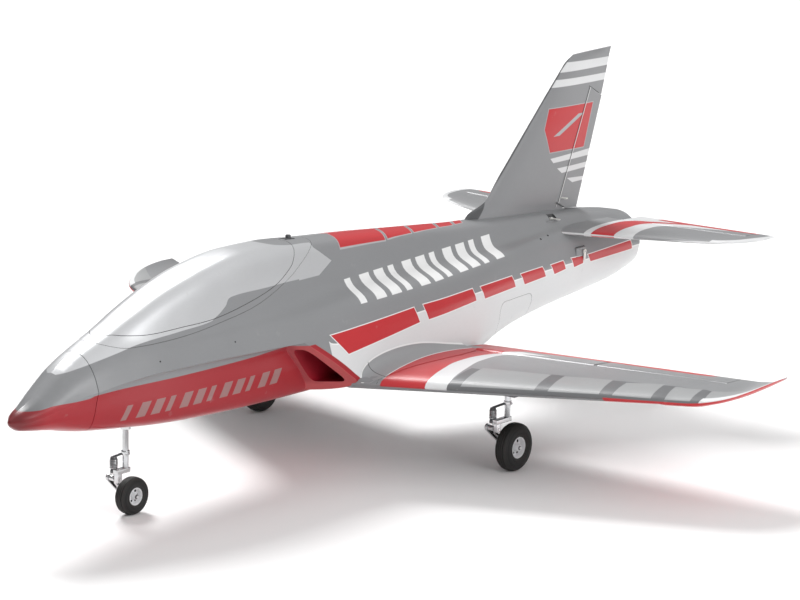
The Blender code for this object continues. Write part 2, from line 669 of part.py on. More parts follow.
def build_fin():
    outline = [((0.2200, .2600), (0.5060, .2520), 0.0150), ((0.2391, .2834), (0.5040, .2640), 0.0150),
               ((0.2758, .2957), (0.5070, .2740), 0.0170), ((0.3123, .3313), (0.5190, .3130), 0.0175),
               ((0.4359, .4534), (0.5610, .4510), 0.0110), ((0.4613, .4770), (0.5700, .4830), 0.0085),
               ((0.4779, .4862), (0.5728, .4917), 0.0040)]
    rings = [section_ring((0, *lead), (0, *trail), thick, (1, 0, 0)) for lead, trail, thick in outline]
    fin = loft("fin", rings, paint_grey())
    radii, chords = (0.0062, 0.0042), (0.0545, 0.0375)
    cut(fin, hinge_slot(RUDDER_LOW - Vector((0, 0.012, 0.027)), RUDDER_HIGH, (radii[0], radii[1]), 0.09, (1, 0, 0), 0.03))
    cut(fin, inner_clear())
    finish(fin)
    rudder = control_surface("rudder", RUDDER_LOW, RUDDER_HIGH, radii, chords, (1, 0, 0), paint_grey())
    horn = box("horn", RUDDER_LOW + Vector((0.0, 0.0060, 0.0060)), RUDDER_LOW + Vector((0.0150, 0.0110, 0.0080)))
    join(rudder, horn)
    cut(rudder, inner_clear(0.0012))
    finish(rudder, RUDDER_LOW)
    return fin, rudder


def build_spars():
    y, z = WING_SPAR_Y, WING_SPAR_Z
    spar = rod("wing_spar", (-0.200, y, z), (0.200, y, z), 0.0038, carbon_tube(), 16)
    finish(spar)
    y, z = STAB_SPAR
    joiner = rod("tail_spar", (-0.140, y, z), (0.140, y, z), 0.0019, carbon_tube())
    finish(joiner)


# ---------------------------------------------------------------- power and radio
def exhaust_cone(name, start_radius, end_radius, extra, paint=None):
    """Cone along the exhaust, made longer at both ends by a fraction of its length."""
    start, end = Vector((0, FAN_Y + 0.0400, THRUST_Z)), Vector((0, 0.6072, NOZZLE_Z))
    reach = (end - start) * extra
    return rod(name, start - reach, end + reach, start_radius, paint, 32, end_radius)


def build_power():
    housing_profile = [(FAN_RADIUS, -0.038), (0.0435, -0.046), (0.0450, -0.040), (0.0450, 0.036), (FAN_RADIUS, 0.036)]
    housing = lathe("fan_housing", housing_profile, (0, FAN_Y, THRUST_Z), (0, 1, 0), dark_plastic(), 32)
    for k in range(4):
        turn = math.pi * (0.25 + 0.5 * k)
        out = Vector((math.cos(turn), 0, math.sin(turn)))
        vane = rod("vane", Vector((0, FAN_Y + 0.022, THRUST_Z)) + out * 0.0150,
                   Vector((0, FAN_Y + 0.022, THRUST_Z)) + out * 0.0415, 0.0012, None, 6)
        join(housing, vane)
    sleeve = [(0.0150, 0.008), (0.0165, 0.008), (0.0165, 0.034), (0.0150, 0.034)]
    join(housing, lathe("sleeve", sleeve, (0, FAN_Y, THRUST_Z), (0, 1, 0), None, 24))
    finish(housing)

    motor = rod("fan_motor", (0, FAN_Y + 0.0085, THRUST_Z), (0, FAN_Y + 0.0400, THRUST_Z), 0.0146, polished_metal(), 20)
    join(motor, rod("shaft", (0, FAN_Y - 0.012, THRUST_Z), (0, FAN_Y + 0.012, THRUST_Z), 0.0020, None, 10))
    finish(motor)

    hub = [(0.0024, 0.0065), (0.0155, 0.0065), (0.0155, -0.006), (0.0110, -0.018), (0.0050, -0.026), (0.0024, -0.027)]
    rotor = lathe("fan_rotor", hub, (0, FAN_Y, THRUST_Z), (0, 1, 0), dark_plastic(), 24)
    for k in range(9):
        spin = Matrix.Rotation(2 * math.pi * k / 9, 3, "Y")
        centre = Vector((0, FAN_Y, THRUST_Z))
        rings = []
        for radius, lean in ((0.0140, 0.0050), (0.0380, 0.0085)):
            ring = []
            for y, x in ((-0.0060, -lean), (0.0060, lean), (0.0052, lean + 0.0014), (-0.0052, -lean + 0.0014)):
                ring.append(centre + spin @ Vector((x, y, radius)))
            rings.append(ring)
        join(rotor, loft("blade", rings))
    finish(rotor, (0, FAN_Y, THRUST_Z))

    tube = exhaust_cone("exhaust_tube", 0.0436, 0.0392, 0.0, dark_plastic())
    cut(tube, exhaust_cone("core", 0.0424, 0.0378, 0.03))
    finish(tube)


def build_radio():
    floor = BATTERY_BAY[3]
    tray = box("battery_tray", (-0.0275, -0.4250, floor + GAP), (0.0275, -0.1500, floor + 0.0024), light_plastic())
    finish(tray)
    battery = box("battery", (-0.0225, -0.4080, floor + 0.0030), (0.0225, -0.2580, floor + 0.0460), blue_wrap())
    bevel_edges(battery, 0.004)
    finish(battery)
    esc = box("speed_controller", (-0.0170, -0.2400, floor + 0.0030), (0.0170, -0.1650, floor + 0.0190), dark_plastic())
    bevel_edges(esc, 0.002)
    finish(esc)
    receiver = box("receiver", (-0.0125, -0.0900, 0.1656), (0.0125, -0.0450, 0.1810), dark_plastic())
    bevel_edges(receiver, 0.002)
    finish(receiver)


def bevel_edges(piece, width):
    work = bmesh.new()
    work.from_mesh(piece.data)
    bmesh.ops.bevel(work, geom=list(work.edges), offset=width, segments=2, profile=0.5, affect="EDGES")
    work.to_mesh(piece.data)
    work.free()


def servo_body(name, spot, size):
    piece = box(name, spot - Vector(size), spot + Vector(size), light_plastic())
    return finish(piece)


def servo_lever(name, pivot, axis, tip):
    """Boss on the output shaft with one lever that ends at tip."""
    pivot, tip, axis = Vector(pivot), Vector(tip), Vector(axis).normalized()
    lever = rod(name, pivot - axis * 0.0010, pivot + axis * 0.0014, 0.0032, light_plastic(), 12)
    reach = tip - pivot
    side = axis.cross(reach).normalized()
    rings = []
    for along, half in ((0.0, 0.0026), (1.0, 0.0014)):
        spot = pivot + reach * along
        rings.append([spot + side * half - axis * 0.0002, spot - side * half - axis * 0.0002,
                      spot - side * half + axis * 0.0010, spot + side * half + axis * 0.0010])
    join(lever, loft("arm", rings))
    return finish(lever, pivot)


def build_servos():
    """Servos for ailerons, flaps, elevators and rudder, each with its lever."""
    made = []
    for name, spot in (("aileron", AILERON_SERVO), ("flap", FLAP_SERVO)):
        made.append(servo_body("servo_" + name + "_left", spot, (0.0060, 0.0120, 0.0048)))
        pivot = spot + Vector((0.0074, 0.0060, 0.0))
        made.append(servo_lever("servo_lever_" + name + "_left", pivot, (1, 0, 0), pivot + Vector((0, 0, -0.0165))))
    made.append(servo_body("servo_elevator_left", ELEVATOR_SERVO, (0.0060, 0.0120, 0.0065)))
    pivot = ELEVATOR_SERVO + Vector((0.0074, 0.0060, 0.0))
    made.append(servo_lever("servo_lever_elevator_left", pivot, (1, 0, 0), pivot + Vector((0, 0, -0.0120))))
    servo_body("servo_rudder", RUDDER_SERVO, (0.0060, 0.0120, 0.0056))
    pivot = RUDDER_SERVO + Vector((0, 0.0060, 0.0070))
    servo_lever("servo_lever_rudder", pivot, (0, 0, 1), pivot + Vector((0.0140, 0, 0)))
    return made


# ---------------------------------------------------------------- landing gear
def retract_unit(name, pivot, half, low, high, slot):
    """Block that carries the pivot: half sizes in x and y, with a slot for the trunnion."""
    hx0, hx1, hy = half
    unit = box(name, pivot + Vector((-hx0, -hy, low)), pivot + Vector((hx1, hy, high)), dark_plastic())
    sx, sy = slot
    cut(unit, box("slot", pivot + Vector((-sx, -sy, -0.05)), pivot + Vector((min(sx, hx1 - 0.004), sy, 0.0110))))
    return unit


def gear_arm(name, knee, axle, inner, reach, paint):
    """Trailing arm on the inboard side of the wheel, with its pivot pin and the stub axle."""
    side = Vector((inner, 0, 0))
    near, far = knee + side * 0.0170, axle + side * 0.0170
    along = (far - near).normalized()
    cross = Vector((1, 0, 0)).cross(along).normalized()
    rings = []
    for x in (0.0, 0.0036):
        shift = Vector((-inner * x, 0, 0))
        rings.append([near - along * 0.004 + cross * 0.0035 + shift, far + along * 0.004 + cross * 0.0028 + shift,
                      far + along * 0.004 - cross * 0.0028 + shift, near - along * 0.004 - cross * 0.0035 + shift])
    arm = loft(name, rings, paint)
    join(arm, rod("pin", near, knee - side * 0.0036, 0.0016, None, 10))
    join(arm, rod("boss", near, knee + side * 0.0046, 0.0034, None, 12))
    join(arm, rod("axle", far, axle - side * reach, 0.0018, None, 12))
    join(arm, rod("plunger", knee + side * 0.0075 + Vector((0, 0, 0.0020)),
                  knee + side * 0.0075 + Vector((0, 0, 0.0130)), 0.0009, None, 8))
    return finish(arm, knee)


def gear_wheel(prefix, suffix, axle, size):
    radius, half, rim = size
    rim_profile = [(0.0021, -half * 0.95), (rim * 0.42, -half * 0.95), (rim * 0.46, -half * 0.35),
                   (rim * 0.86, -half * 0.30), (rim * 0.90, -half * 0.80), (rim, -half * 0.80),
                   (rim, half * 0.80), (rim * 0.90, half * 0.80), (rim * 0.86, half * 0.30),
                   (rim * 0.46, half * 0.35), (rim * 0.42, half * 0.95), (0.0021, half * 0.95)]
    wheel = lathe(prefix + "_rim" + suffix, rim_profile, axle, (1, 0, 0), light_plastic(), 20)
    finish(wheel, axle)
    inner = rim + 0.0003
    tyre_profile = [(inner, -half * 0.86), (rim + 0.25 * (radius - rim), -half), (rim + 0.62 * (radius - rim), -half * 0.97),
                    (radius - 0.0022, -half * 0.70), (radius, -half * 0.28), (radius, half * 0.28),
                    (radius - 0.0022, half * 0.70), (rim + 0.62 * (radius - rim), half * 0.97),
                    (rim + 0.25 * (radius - rim), half), (inner, half * 0.86)]
    tyre = lathe(prefix + "_tyre" + suffix, tyre_profile, axle, (1, 0, 0), black_rubber(), 28)
    finish(tyre, axle)
    tyre.location = (0, 0, 0)
    tyre.parent = wheel
    return wheel, tyre


def gear_leg(leg, knee, strut_y, shelf, inner):
    """Adds the shelf, the knee lug and the damper barrel to the lower end of a strut."""
    centre = knee.x
    join(leg, box("shelf", (centre - 0.0040, knee.y - 0.0050, shelf), (centre + 0.0040, strut_y + 0.0050, shelf + 0.0060)))
    lug = box("lug", (centre - 0.0032, knee.y - 0.0040, knee.z - 0.0040), (centre + 0.0032, knee.y + 0.0040, shelf + 0.002))
    cut(lug, rod("eye", knee - Vector((0.01, 0, 0)), knee + Vector((0.01, 0, 0)), 0.0019, None, 10))
    join(leg, lug)
    damper = knee + Vector((inner * 0.0075, 0, 0))
    barrel = rod("barrel", damper + Vector((0, 0, shelf - knee.z)), damper + Vector((0, 0, shelf - knee.z + 0.020)), 0.0042, None, 14)
    join(leg, barrel)
    join(leg, rod("upper_eye", damper + Vector((0, 0, shelf - knee.z + 0.018)),
                  Vector((centre, strut_y, shelf + 0.0240)), 0.0016, None, 8))
    cut(leg, rod("barrel_bore", damper - Vector((0, 0, 0.01)), damper + Vector((0, 0, shelf - knee.z + 0.0120)), 0.0031, None, 12))
    return leg


def build_main_gear():
    unit = retract_unit("main_retract_left", MAIN_PIVOT, (0.0150, 0.0250, 0.0200), -0.0060, 0.0180, (0.030, 0.0068))
    pivot = MAIN_PIVOT
    cut(unit, rod("eye", pivot - Vector((0, 0.018, 0)), pivot + Vector((0, 0.018, 0)), 0.0024, None, 12))
    finish(unit)
    leg = box("main_leg_left", pivot + Vector((-0.0055, -0.0060, -0.0090)), pivot + Vector((0.0055, 0.0060, 0.0045)), polished_metal())
    join(leg, rod("pins", pivot - Vector((0, 0.0150, 0)), pivot + Vector((0, 0.0150, 0)), 0.0020, None, 12))
    shelf = 0.0690
    join(leg, rod("strut", pivot + Vector((0, 0, -0.004)), Vector((pivot.x, pivot.y, shelf + 0.001)), 0.0042, None, 14))
    gear_leg(leg, MAIN_KNEE, pivot.y, shelf, -1)
    finish(leg, pivot)
    arm = gear_arm("main_arm_left", MAIN_KNEE, MAIN_AXLE, -1, 0.0112, polished_metal())
    wheel, tyre = gear_wheel("main", "_left", MAIN_AXLE, MAIN_WHEEL)
    return [unit, leg, arm, wheel, tyre]


def build_nose_gear():
    pivot = NOSE_PIVOT
    unit = box("nose_retract", pivot + Vector((-0.0180, -0.0130, -0.0100)), pivot + Vector((0.0180, 0.0130, 0.0260)), dark_plastic())
    cut(unit, box("slot", pivot + Vector((-0.0103, -0.02, -0.05)), pivot + Vector((0.0103, 0.02, 0.0170))))
    cut(unit, rod("eye", pivot - Vector((0.017, 0, 0)), pivot + Vector((0.017, 0, 0)), 0.0026, None, 12))
    finish(unit)
    block = box("nose_trunnion", pivot + Vector((-0.0095, -0.0070, -0.0100)), pivot + Vector((0.0095, 0.0070, 0.0080)), polished_metal())
    join(block, rod("pins", pivot - Vector((0.0150, 0, 0)), pivot + Vector((0.0150, 0, 0)), 0.0022, None, 12))
    cut(block, rod("bore", pivot + Vector((0, 0, -0.02)), pivot + Vector((0, 0, -0.0030)), 0.0044, None, 14))
    finish(block, pivot)
    shelf = 0.0550
    leg = rod("nose_leg", Vector((0, pivot.y, shelf + 0.001)), pivot + Vector((0, 0, -0.0034)), 0.0040, polished_metal(), 14)
    join(leg, rod("collar", pivot + Vector((0, 0, -0.0200)), pivot + Vector((0, 0, -0.0104)), 0.0062, None, 14))
    gear_leg(leg, NOSE_KNEE, pivot.y, shelf, -1)
    finish(leg, (0, pivot.y, pivot.z - 0.0104))
    gear_arm("nose_arm", NOSE_KNEE, NOSE_AXLE, -1, 0.0096, polished_metal())
    gear_wheel("nose", "", NOSE_AXLE, NOSE_WHEEL)


def build_all():
    clear_scene()
    build_nose_cone()
    build_fuselage()
    build_belly_hatch()
    build_canopy()
    port = build_wing()
    port += build_tailplane()
    build_fin()
    build_spars()
    build_power()
    build_radio()
    port += build_servos()
    port += build_main_gear()
    build_nose_gear()
    for piece in port:
        if piece.parent:
            continue
        twin = mirrored(piece, piece.name.replace("_left", "_right"))
        for child in piece.children:
            other = mirrored(child, child.name.replace("_left", "_right"))
            other.parent = twin


build_all()
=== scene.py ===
"""Looks of a ducted-fan sport jet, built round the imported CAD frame.

Metres, +Z up, nose along -Y, port side +X: the same frame as the CAD.
"""
import json
import math

import bmesh
import bpy
from mathutils import Matrix, Vector
from mathutils.bvhtree import BVHTree
from mathutils.interpolate import poly_3d_calc

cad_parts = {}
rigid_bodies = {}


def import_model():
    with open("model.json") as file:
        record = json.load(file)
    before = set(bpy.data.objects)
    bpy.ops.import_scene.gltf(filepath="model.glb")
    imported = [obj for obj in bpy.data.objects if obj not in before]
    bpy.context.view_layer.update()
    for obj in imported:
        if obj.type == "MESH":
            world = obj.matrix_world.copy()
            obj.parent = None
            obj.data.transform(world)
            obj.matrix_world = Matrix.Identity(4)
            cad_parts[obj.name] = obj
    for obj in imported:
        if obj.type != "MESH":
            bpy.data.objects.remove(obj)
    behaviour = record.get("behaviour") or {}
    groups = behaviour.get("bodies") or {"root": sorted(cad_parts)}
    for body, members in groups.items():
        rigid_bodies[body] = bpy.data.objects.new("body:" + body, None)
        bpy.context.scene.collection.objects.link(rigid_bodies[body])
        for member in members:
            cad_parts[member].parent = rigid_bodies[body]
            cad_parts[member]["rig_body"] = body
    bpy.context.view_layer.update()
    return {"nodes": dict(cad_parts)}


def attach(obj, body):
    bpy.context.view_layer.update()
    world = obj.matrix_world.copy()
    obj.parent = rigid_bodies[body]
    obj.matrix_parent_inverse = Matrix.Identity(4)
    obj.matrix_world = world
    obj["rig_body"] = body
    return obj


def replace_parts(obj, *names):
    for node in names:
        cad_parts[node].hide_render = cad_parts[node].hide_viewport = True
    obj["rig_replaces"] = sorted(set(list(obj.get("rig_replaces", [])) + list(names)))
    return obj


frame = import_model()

# ---------------------------------------------------------------- sizes shared with the CAD
GAP = 0.0004                 # half of the visible gap between the shells
NOSE_Y = -0.6095
TAIL_Y = 0.6050
NOSE_SEAM_Y = -0.510
BLEND_Y = -0.090             # where the front and rear skins meet
BATTERY_BAY = (0.030, -0.440, -0.135, 0.161)
GEAR_BAY = (0.026, -0.459, -0.282, 0.1582)
THRUST_Z = 0.186
NOZZLE_Z = 0.2035
FAN_Y = 0.250
FAN_RADIUS = 0.040
DUCT_MOUTH_Y = -0.215
HINGE_IN = Vector((0.112, 0.1200, 0.1268))
HINGE_OUT = Vector((0.468, 0.1790, 0.1338))
FLAP_SPAN = (0.004, 0.480)
AILERON_SPAN = (0.492, 0.990)
RUDDER_LOW = Vector((0.0, 0.4470, 0.2760))
RUDDER_HIGH = Vector((0.0, 0.5195, 0.4370))
ELEVATOR_IN = Vector((0.0560, 0.5420, 0.2425))
ELEVATOR_OUT = Vector((0.2480, 0.5660, 0.2436))
MAIN_X = 0.2186
MAIN_PIVOT = Vector((MAIN_X, 0.0480, 0.1130))
MAIN_KNEE = Vector((MAIN_X, 0.0270, 0.0620))
MAIN_AXLE = Vector((MAIN_X, 0.0644, 0.0315))
MAIN_WHEEL = (0.0315, 0.0100, 0.0140)
NOSE_PIVOT = Vector((0.0, -0.4237, 0.1280))
NOSE_KNEE = Vector((0.0, -0.4360, 0.0480))
NOSE_AXLE = Vector((0.0, -0.4126, 0.0232))
NOSE_WHEEL = (0.0232, 0.0085, 0.0108)
WELL_CEILING = 0.1285
WELL_RADIUS = 0.0415
FOLD_SHIFT = 0.0805          # how far inboard of its leg a folded main wheel lies
WING_SPAR = (-0.010, 0.1215, 0.0043)
STAB_SPAR = (0.4900, 0.2425, 0.0023)
AILERON_SERVO = Vector((0.375, 0.118, 0.1268))
FLAP_SERVO = Vector((0.292, 0.098, 0.1240))
RUDDER_SERVO = Vector((0.020, 0.405, 0.2530))
ELEVATOR_SERVO = Vector((0.0480, 0.440, 0.2130))

# Fuselage sections: station along Y, then the half section as (x, z) pairs from the top down.
SECTION_POINTS = 10
CHINE = 5                    # the chine is the fifth point, and stays a sharp edge
FRONT_SECTIONS = [
    (-0.6095, (0, .1540), (.0020, .1535), (.0035, .1525), (.0042, .1515), (.0045, .1500),
     (.0042, .1488), (.0038, .1478), (.0030, .1468), (.0015, .1462), (0, .1460)),
    (-0.6020, (0, .1600), (.0060, .1588), (.0095, .1565), (.0112, .1535), (.0118, .1500),
     (.0112, .1470), (.0100, .1445), (.0078, .1422), (.0040, .1408), (0, .1404)),
    (-0.5857, (0, .1685), (.0090, .1665), (.0150, .1628), (.0182, .1585), (.0195, .1530),
     (.0187, .1488), (.0170, .1445), (.0132, .1405), (.0065, .1378), (0, .1370)),
    (-0.5600, (0, .1870), (.0125, .1840), (.0210, .1780), (.0268, .1700), (.0295, .1610),
     (.0278, .1540), (.0250, .1460), (.0190, .1385), (.0095, .1345), (0, .1335)),
    (-0.5350, (0, .2050), (.0145, .2015), (.0240, .1940), (.0315, .1830), (.0360, .1695),
     (.0340, .1590), (.0305, .1460), (.0235, .1345), (.0115, .1290), (0, .1275)),
    (-0.5100, (0, .2180), (.0150, .2145), (.0265, .2055), (.0355, .1925), (.0420, .1755),
     (.0390, .1660), (.0350, .1480), (.0275, .1315), (.0135, .1245), (0, .1228)),
    (-0.4633, (0, .2379), (.0190, .2335), (.0310, .2190), (.0410, .2025), (.0500, .1825),
     (.0450, .1745), (.0420, .1500), (.0345, .1275), (.0170, .1190), (0, .1172)),
    (-0.4208, (0, .2574), (.0240, .2510), (.0380, .2235), (.0475, .2075), (.0565, .1862),
     (.0500, .1790), (.0470, .1500), (.0390, .1235), (.0195, .1145), (0, .1125)),
    (-0.3779, (0, .2742), (.0275, .2665), (.0430, .2245), (.0520, .2095), (.0615, .1874),
     (.0530, .1800), (.0505, .1490), (.0425, .1205), (.0210, .1115), (0, .1100)),
    (-0.3200, (0, .2900), (.0310, .2820), (.0475, .2270), (.0570, .2110), (.0670, .1882),
     (.0560, .1800), (.0535, .1480), (.0450, .1180), (.0225, .1095), (0, .1082)),
    (-0.2431, (0, .3017), (.0320, .2935), (.0500, .2330), (.0625, .2135), (.0745, .1882),
     (.0590, .1800), (.0560, .1470), (.0470, .1165), (.0235, .1078), (0, .1066)),
    (-0.1771, (0, .3031), (.0305, .2950), (.0490, .2370), (.0680, .2165), (.0805, .1878),
     (.0580, .1790), (.0555, .1465), (.0470, .1160), (.0235, .1072), (0, .1060)),
    (-0.1089, (0, .3000), (.0285, .2915), (.0460, .2420), (.0730, .2205), (.0865, .1890),
     (.0560, .1770), (.0545, .1460), (.0470, .1160), (.0235, .1072), (0, .1060)),
    (-0.0300, (0, .2960), (.0260, .2875), (.0435, .2440), (.0750, .2240), (.0885, .1905),
     (.0560, .1770), (.0545, .1460), (.0470, .1165), (.0235, .1075), (0, .1064)),
]
REAR_SECTIONS = [
    (-0.2150, (0, .2700), (.0200, .2600), (.0400, .2360), (.0650, .2140), (.0770, .1878),
     (.0850, .1650), (.0930, .1420), (.0950, .1290), (.0700, .1180), (0, .1150)),
    (-0.1089, (0, .2999), (.0284, .2914), (.0459, .2419), (.0729, .2204), (.0865, .1890),
     (.0930, .1660), (.0985, .1420), (.0990, .1270), (.0720, .1165), (0, .1110)),
    (-0.0300, (0, .2960), (.0260, .2875), (.0435, .2440), (.0750, .2240), (.0888, .1905),
     (.0940, .1670), (.0985, .1420), (.0985, .1230), (.0720, .1110), (0, .1060)),
    (0.0600, (0, .2900), (.0238, .2815), (.0415, .2440), (.0750, .2255), (.0888, .1930),
     (.0925, .1680), (.0950, .1420), (.0940, .1200), (.0680, .1090), (0, .1065)),
    (0.1300, (0, .2850), (.0222, .2768), (.0395, .2435), (.0705, .2265), (.0840, .1950),
     (.0860, .1690), (.0865, .1420), (.0835, .1200), (.0600, .1095), (0, .1072)),
    (0.2000, (0, .2800), (.0208, .2722), (.0370, .2440), (.0640, .2290), (.0760, .1970),
     (.0760, .1700), (.0740, .1420), (.0660, .1210), (.0450, .1110), (0, .1085)),
    (0.2450, (0, .2782), (.0198, .2708), (.0350, .2450), (.0590, .2315), (.0705, .1985),
     (.0698, .1720), (.0650, .1450), (.0530, .1260), (.0320, .1175), (0, .1155)),
    (0.3000, (0, .2755), (.0188, .2690), (.0330, .2470), (.0530, .2340), (.0640, .2000),
     (.0628, .1760), (.0570, .1500), (.0440, .1335), (.0250, .1275), (0, .1262)),
    (0.4000, (0, .2700), (.0180, .2655), (.0310, .2510), (.0460, .2390), (.0565, .2030),
     (.0550, .1820), (.0490, .1590), (.0370, .1445), (.0210, .1390), (0, .1375)),
    (0.5000, (0, .2625), (.0185, .2590), (.0300, .2510), (.0420, .2390), (.0505, .2050),
     (.0490, .1850), (.0430, .1650), (.0330, .1530), (.0180, .1475), (0, .1460)),
    (0.5538, (0, .2564), (.0172, .2530), (.0280, .2465), (.0395, .2340), (.0475, .2045),
     (.0455, .1850), (.0395, .1685), (.0295, .1580), (.0165, .1530), (0, .1515)),
    (0.6050, (0, .2475), (.0168, .2441), (.0311, .2346), (.0406, .2204), (.0440, .2035),
     (.0406, .1867), (.0349, .1767), (.0253, .1675), (.0135, .1616), (0, .1595)),
]
# Lower edge of the canopy hatch as seen from the side: (y, z) from its front tip to its rear tip.
HATCH_EDGE = [(-0.4930, .2275), (-0.4630, .2185), (-0.4350, .2175), (-0.3740, .2200), (-0.3187, .2264),
              (-0.2447, .2391), (-0.1850, .2593), (-0.1490, .2775), (-0.1240, .2918), (-0.104, .3020)]


# ---------------------------------------------------------------- mesh helpers
def add_object(name, mesh, paint=None):
    made = bpy.data.objects.new(name, mesh)
    bpy.context.scene.collection.objects.link(made)
    if paint is not None:
        mesh.materials.clear()
        mesh.materials.append(paint)
    return made


def mesh_from(name, verts, faces, paint=None):
    mesh = bpy.data.meshes.new(name)
    mesh.from_pydata([tuple(v) for v in verts], [], faces)
    work = bmesh.new()
    work.from_mesh(mesh)
    bmesh.ops.remove_doubles(work, verts=work.verts, dist=1e-6)
    bmesh.ops.recalc_face_normals(work, faces=work.faces)
    work.to_mesh(mesh)
    work.free()
    return add_object(name, mesh, paint)


def loft(name, rings, paint=None):
    """Closed solid through rings of equal length, with both ends capped."""
    count = len(rings[0])
    verts = [v for ring in rings for v in ring]
    faces = []
    for level in range(len(rings) - 1):
        for k in range(count):
            a = level * count + k
            b = level * count + (k + 1) % count
            faces.append((a, b, b + count, a + count))
    faces.append(tuple(range(count)))
    faces.append(tuple(range((len(rings) - 1) * count, len(rings) * count)))
    return mesh_from(name, verts, faces, paint)


def box(name, low, high, paint=None):
    x0, y0, z0 = low
    x1, y1, z1 = high
    bottom = [(x0, y0, z0), (x1, y0, z0), (x1, y1, z0), (x0, y1, z0)]
    top = [(x0, y0, z1), (x1, y0, z1), (x1, y1, z1), (x0, y1, z1)]
    return loft(name, [bottom, top], paint)


def axis_frame(axis):
    along = Vector(axis).normalized()
    side = along.orthogonal().normalized()
    if abs(along.z) < 0.9:
        side = Vector((0, 0, 1)).cross(along).normalized()
    return along, side, along.cross(side)


def rod(name, start, end, radius, paint=None, sides=24, end_radius=None):
    """Cylinder or cone between two points."""
    start, end = Vector(start), Vector(end)
    side, other = axis_frame(end - start)[1:]
    rings = []
    for centre, size in ((start, radius), (end, radius if end_radius is None else end_radius)):
        rings.append([centre + side * size * math.cos(2 * math.pi * k / sides)
                      + other * size * math.sin(2 * math.pi * k / sides) for k in range(sides)])
    return loft(name, rings, paint)


def turned(name, profile, centre, axis, paint=None, sides=48):
    """Ring of revolution: a closed (radius, along) profile turned about an axis."""
    along, side, other = axis_frame(axis)
    centre = Vector(centre)
    count = len(profile)
    verts, faces = [], []
    for k in range(sides):
        turn = 2 * math.pi * k / sides
        out = side * math.cos(turn) + other * math.sin(turn)
        verts += [centre + out * radius + along * reach for radius, reach in profile]
    for k in range(sides):
        ring, after = k * count, ((k + 1) % sides) * count
        for j in range(count):
            i = (j + 1) % count
            faces.append((ring + j, ring + i, after + i, after + j))
    return mesh_from(name, verts, faces, paint)


def tube(name, path, radius, paint=None, sides=10, radii=None):
    """Round bar along a path of points."""
    path = [Vector(p) for p in path]
    rings = []
    side = None
    for k, spot in enumerate(path):
        along = (path[min(k + 1, len(path) - 1)] - path[max(k - 1, 0)]).normalized()
        if side is None:
            side = along.orthogonal().normalized()
        side = (side - along * side.dot(along)).normalized()
        other = along.cross(side)
        size = radii[k] if radii else radius
        rings.append([spot + side * size * math.cos(2 * math.pi * j / sides)
                      + other * size * math.sin(2 * math.pi * j / sides) for j in range(sides)])
    return loft(name, rings, paint)


def coil(name, start, end, radius, wire, turns, paint=None):
    """Compression spring between two points."""
    start, end = Vector(start), Vector(end)
    side, other = axis_frame(end - start)[1:]
    path = []
    steps = int(turns * 14)
    for k in range(steps + 1):
        turn = 2 * math.pi * turns * k / steps
        across, rise = side * radius * math.cos(turn), other * radius * math.sin(turn)
        path.append(start.lerp(end, k / steps) + across + rise)
    return tube(name, path, wire, paint, 6)


def combine(target, tool, operation):
    """Boolean that is applied at once; cut faces keep the tool's material. The tool is removed."""
    step = target.modifiers.new("step", "BOOLEAN")
    step.operation = operation
    step.solver = "EXACT"
    step.material_mode = "TRANSFER"
    step.object = tool
    graph = bpy.context.evaluated_depsgraph_get()
    result = bpy.data.meshes.new_from_object(target.evaluated_get(graph))
    target.modifiers.clear()
    target.data = result
    bpy.data.objects.remove(tool, do_unlink=True)
    return target


def cut(target, *tools):
    for tool in tools:
        combine(target, tool, "DIFFERENCE")
    return target


def join(target, *tools):
    for tool in tools:
        combine(target, tool, "UNION")
    return target


def keep_common(target, tool):
    return combine(target, tool, "INTERSECT")


def merge(target, *others):
    """Puts separate closed solids into one piece, each with its own material."""
    work = bmesh.new()
    paints = []
    for item in (target, *others):
        before = len(work.faces)
        shift = []
        for paint in item.data.materials:
            if paint not in paints:
                paints.append(paint)
            shift.append(paints.index(paint))
        work.from_mesh(item.data)
        work.faces.ensure_lookup_table()
        for face in work.faces[before:]:
            face.material_index = shift[face.material_index] if shift else 0
    target.data.materials.clear()
    for paint in paints:
        target.data.materials.append(paint)
    work.to_mesh(target.data)
    work.free()
    for item in others:
        bpy.data.objects.remove(item, do_unlink=True)
    return target


def copy_of(source, name):
    made = source.copy()
    made.data = source.data.copy()
    made.name = name
    bpy.context.scene.collection.objects.link(made)
    return made


def bevelled(piece, width, segments=2, angle=40):
    """Rounds the sharp edges by real geometry."""
    step = piece.modifiers.new("bevel", "BEVEL")
    step.width = width
    step.segments = segments
    step.limit_method = "ANGLE"
    step.angle_limit = math.radians(angle)
    graph = bpy.context.evaluated_depsgraph_get()
    result = bpy.data.meshes.new_from_object(piece.evaluated_get(graph))
    piece.modifiers.clear()
    piece.data = result
    return piece


def smooth_by_angle(piece, degrees=32):
    mesh = piece.data
    mesh.polygons.foreach_set("use_smooth", [True] * len(mesh.polygons))
    mesh.set_sharp_from_angle(angle=math.radians(degrees))
    return piece


def tidy_mesh(piece):
    """Welds slivers left by the cuts."""
    work = bmesh.new()
    work.from_mesh(piece.data)
    bmesh.ops.remove_doubles(work, verts=work.verts, dist=4e-6)
    bmesh.ops.dissolve_degenerate(work, edges=work.edges, dist=2e-6)
    work.to_mesh(piece.data)
    work.free()
    return piece


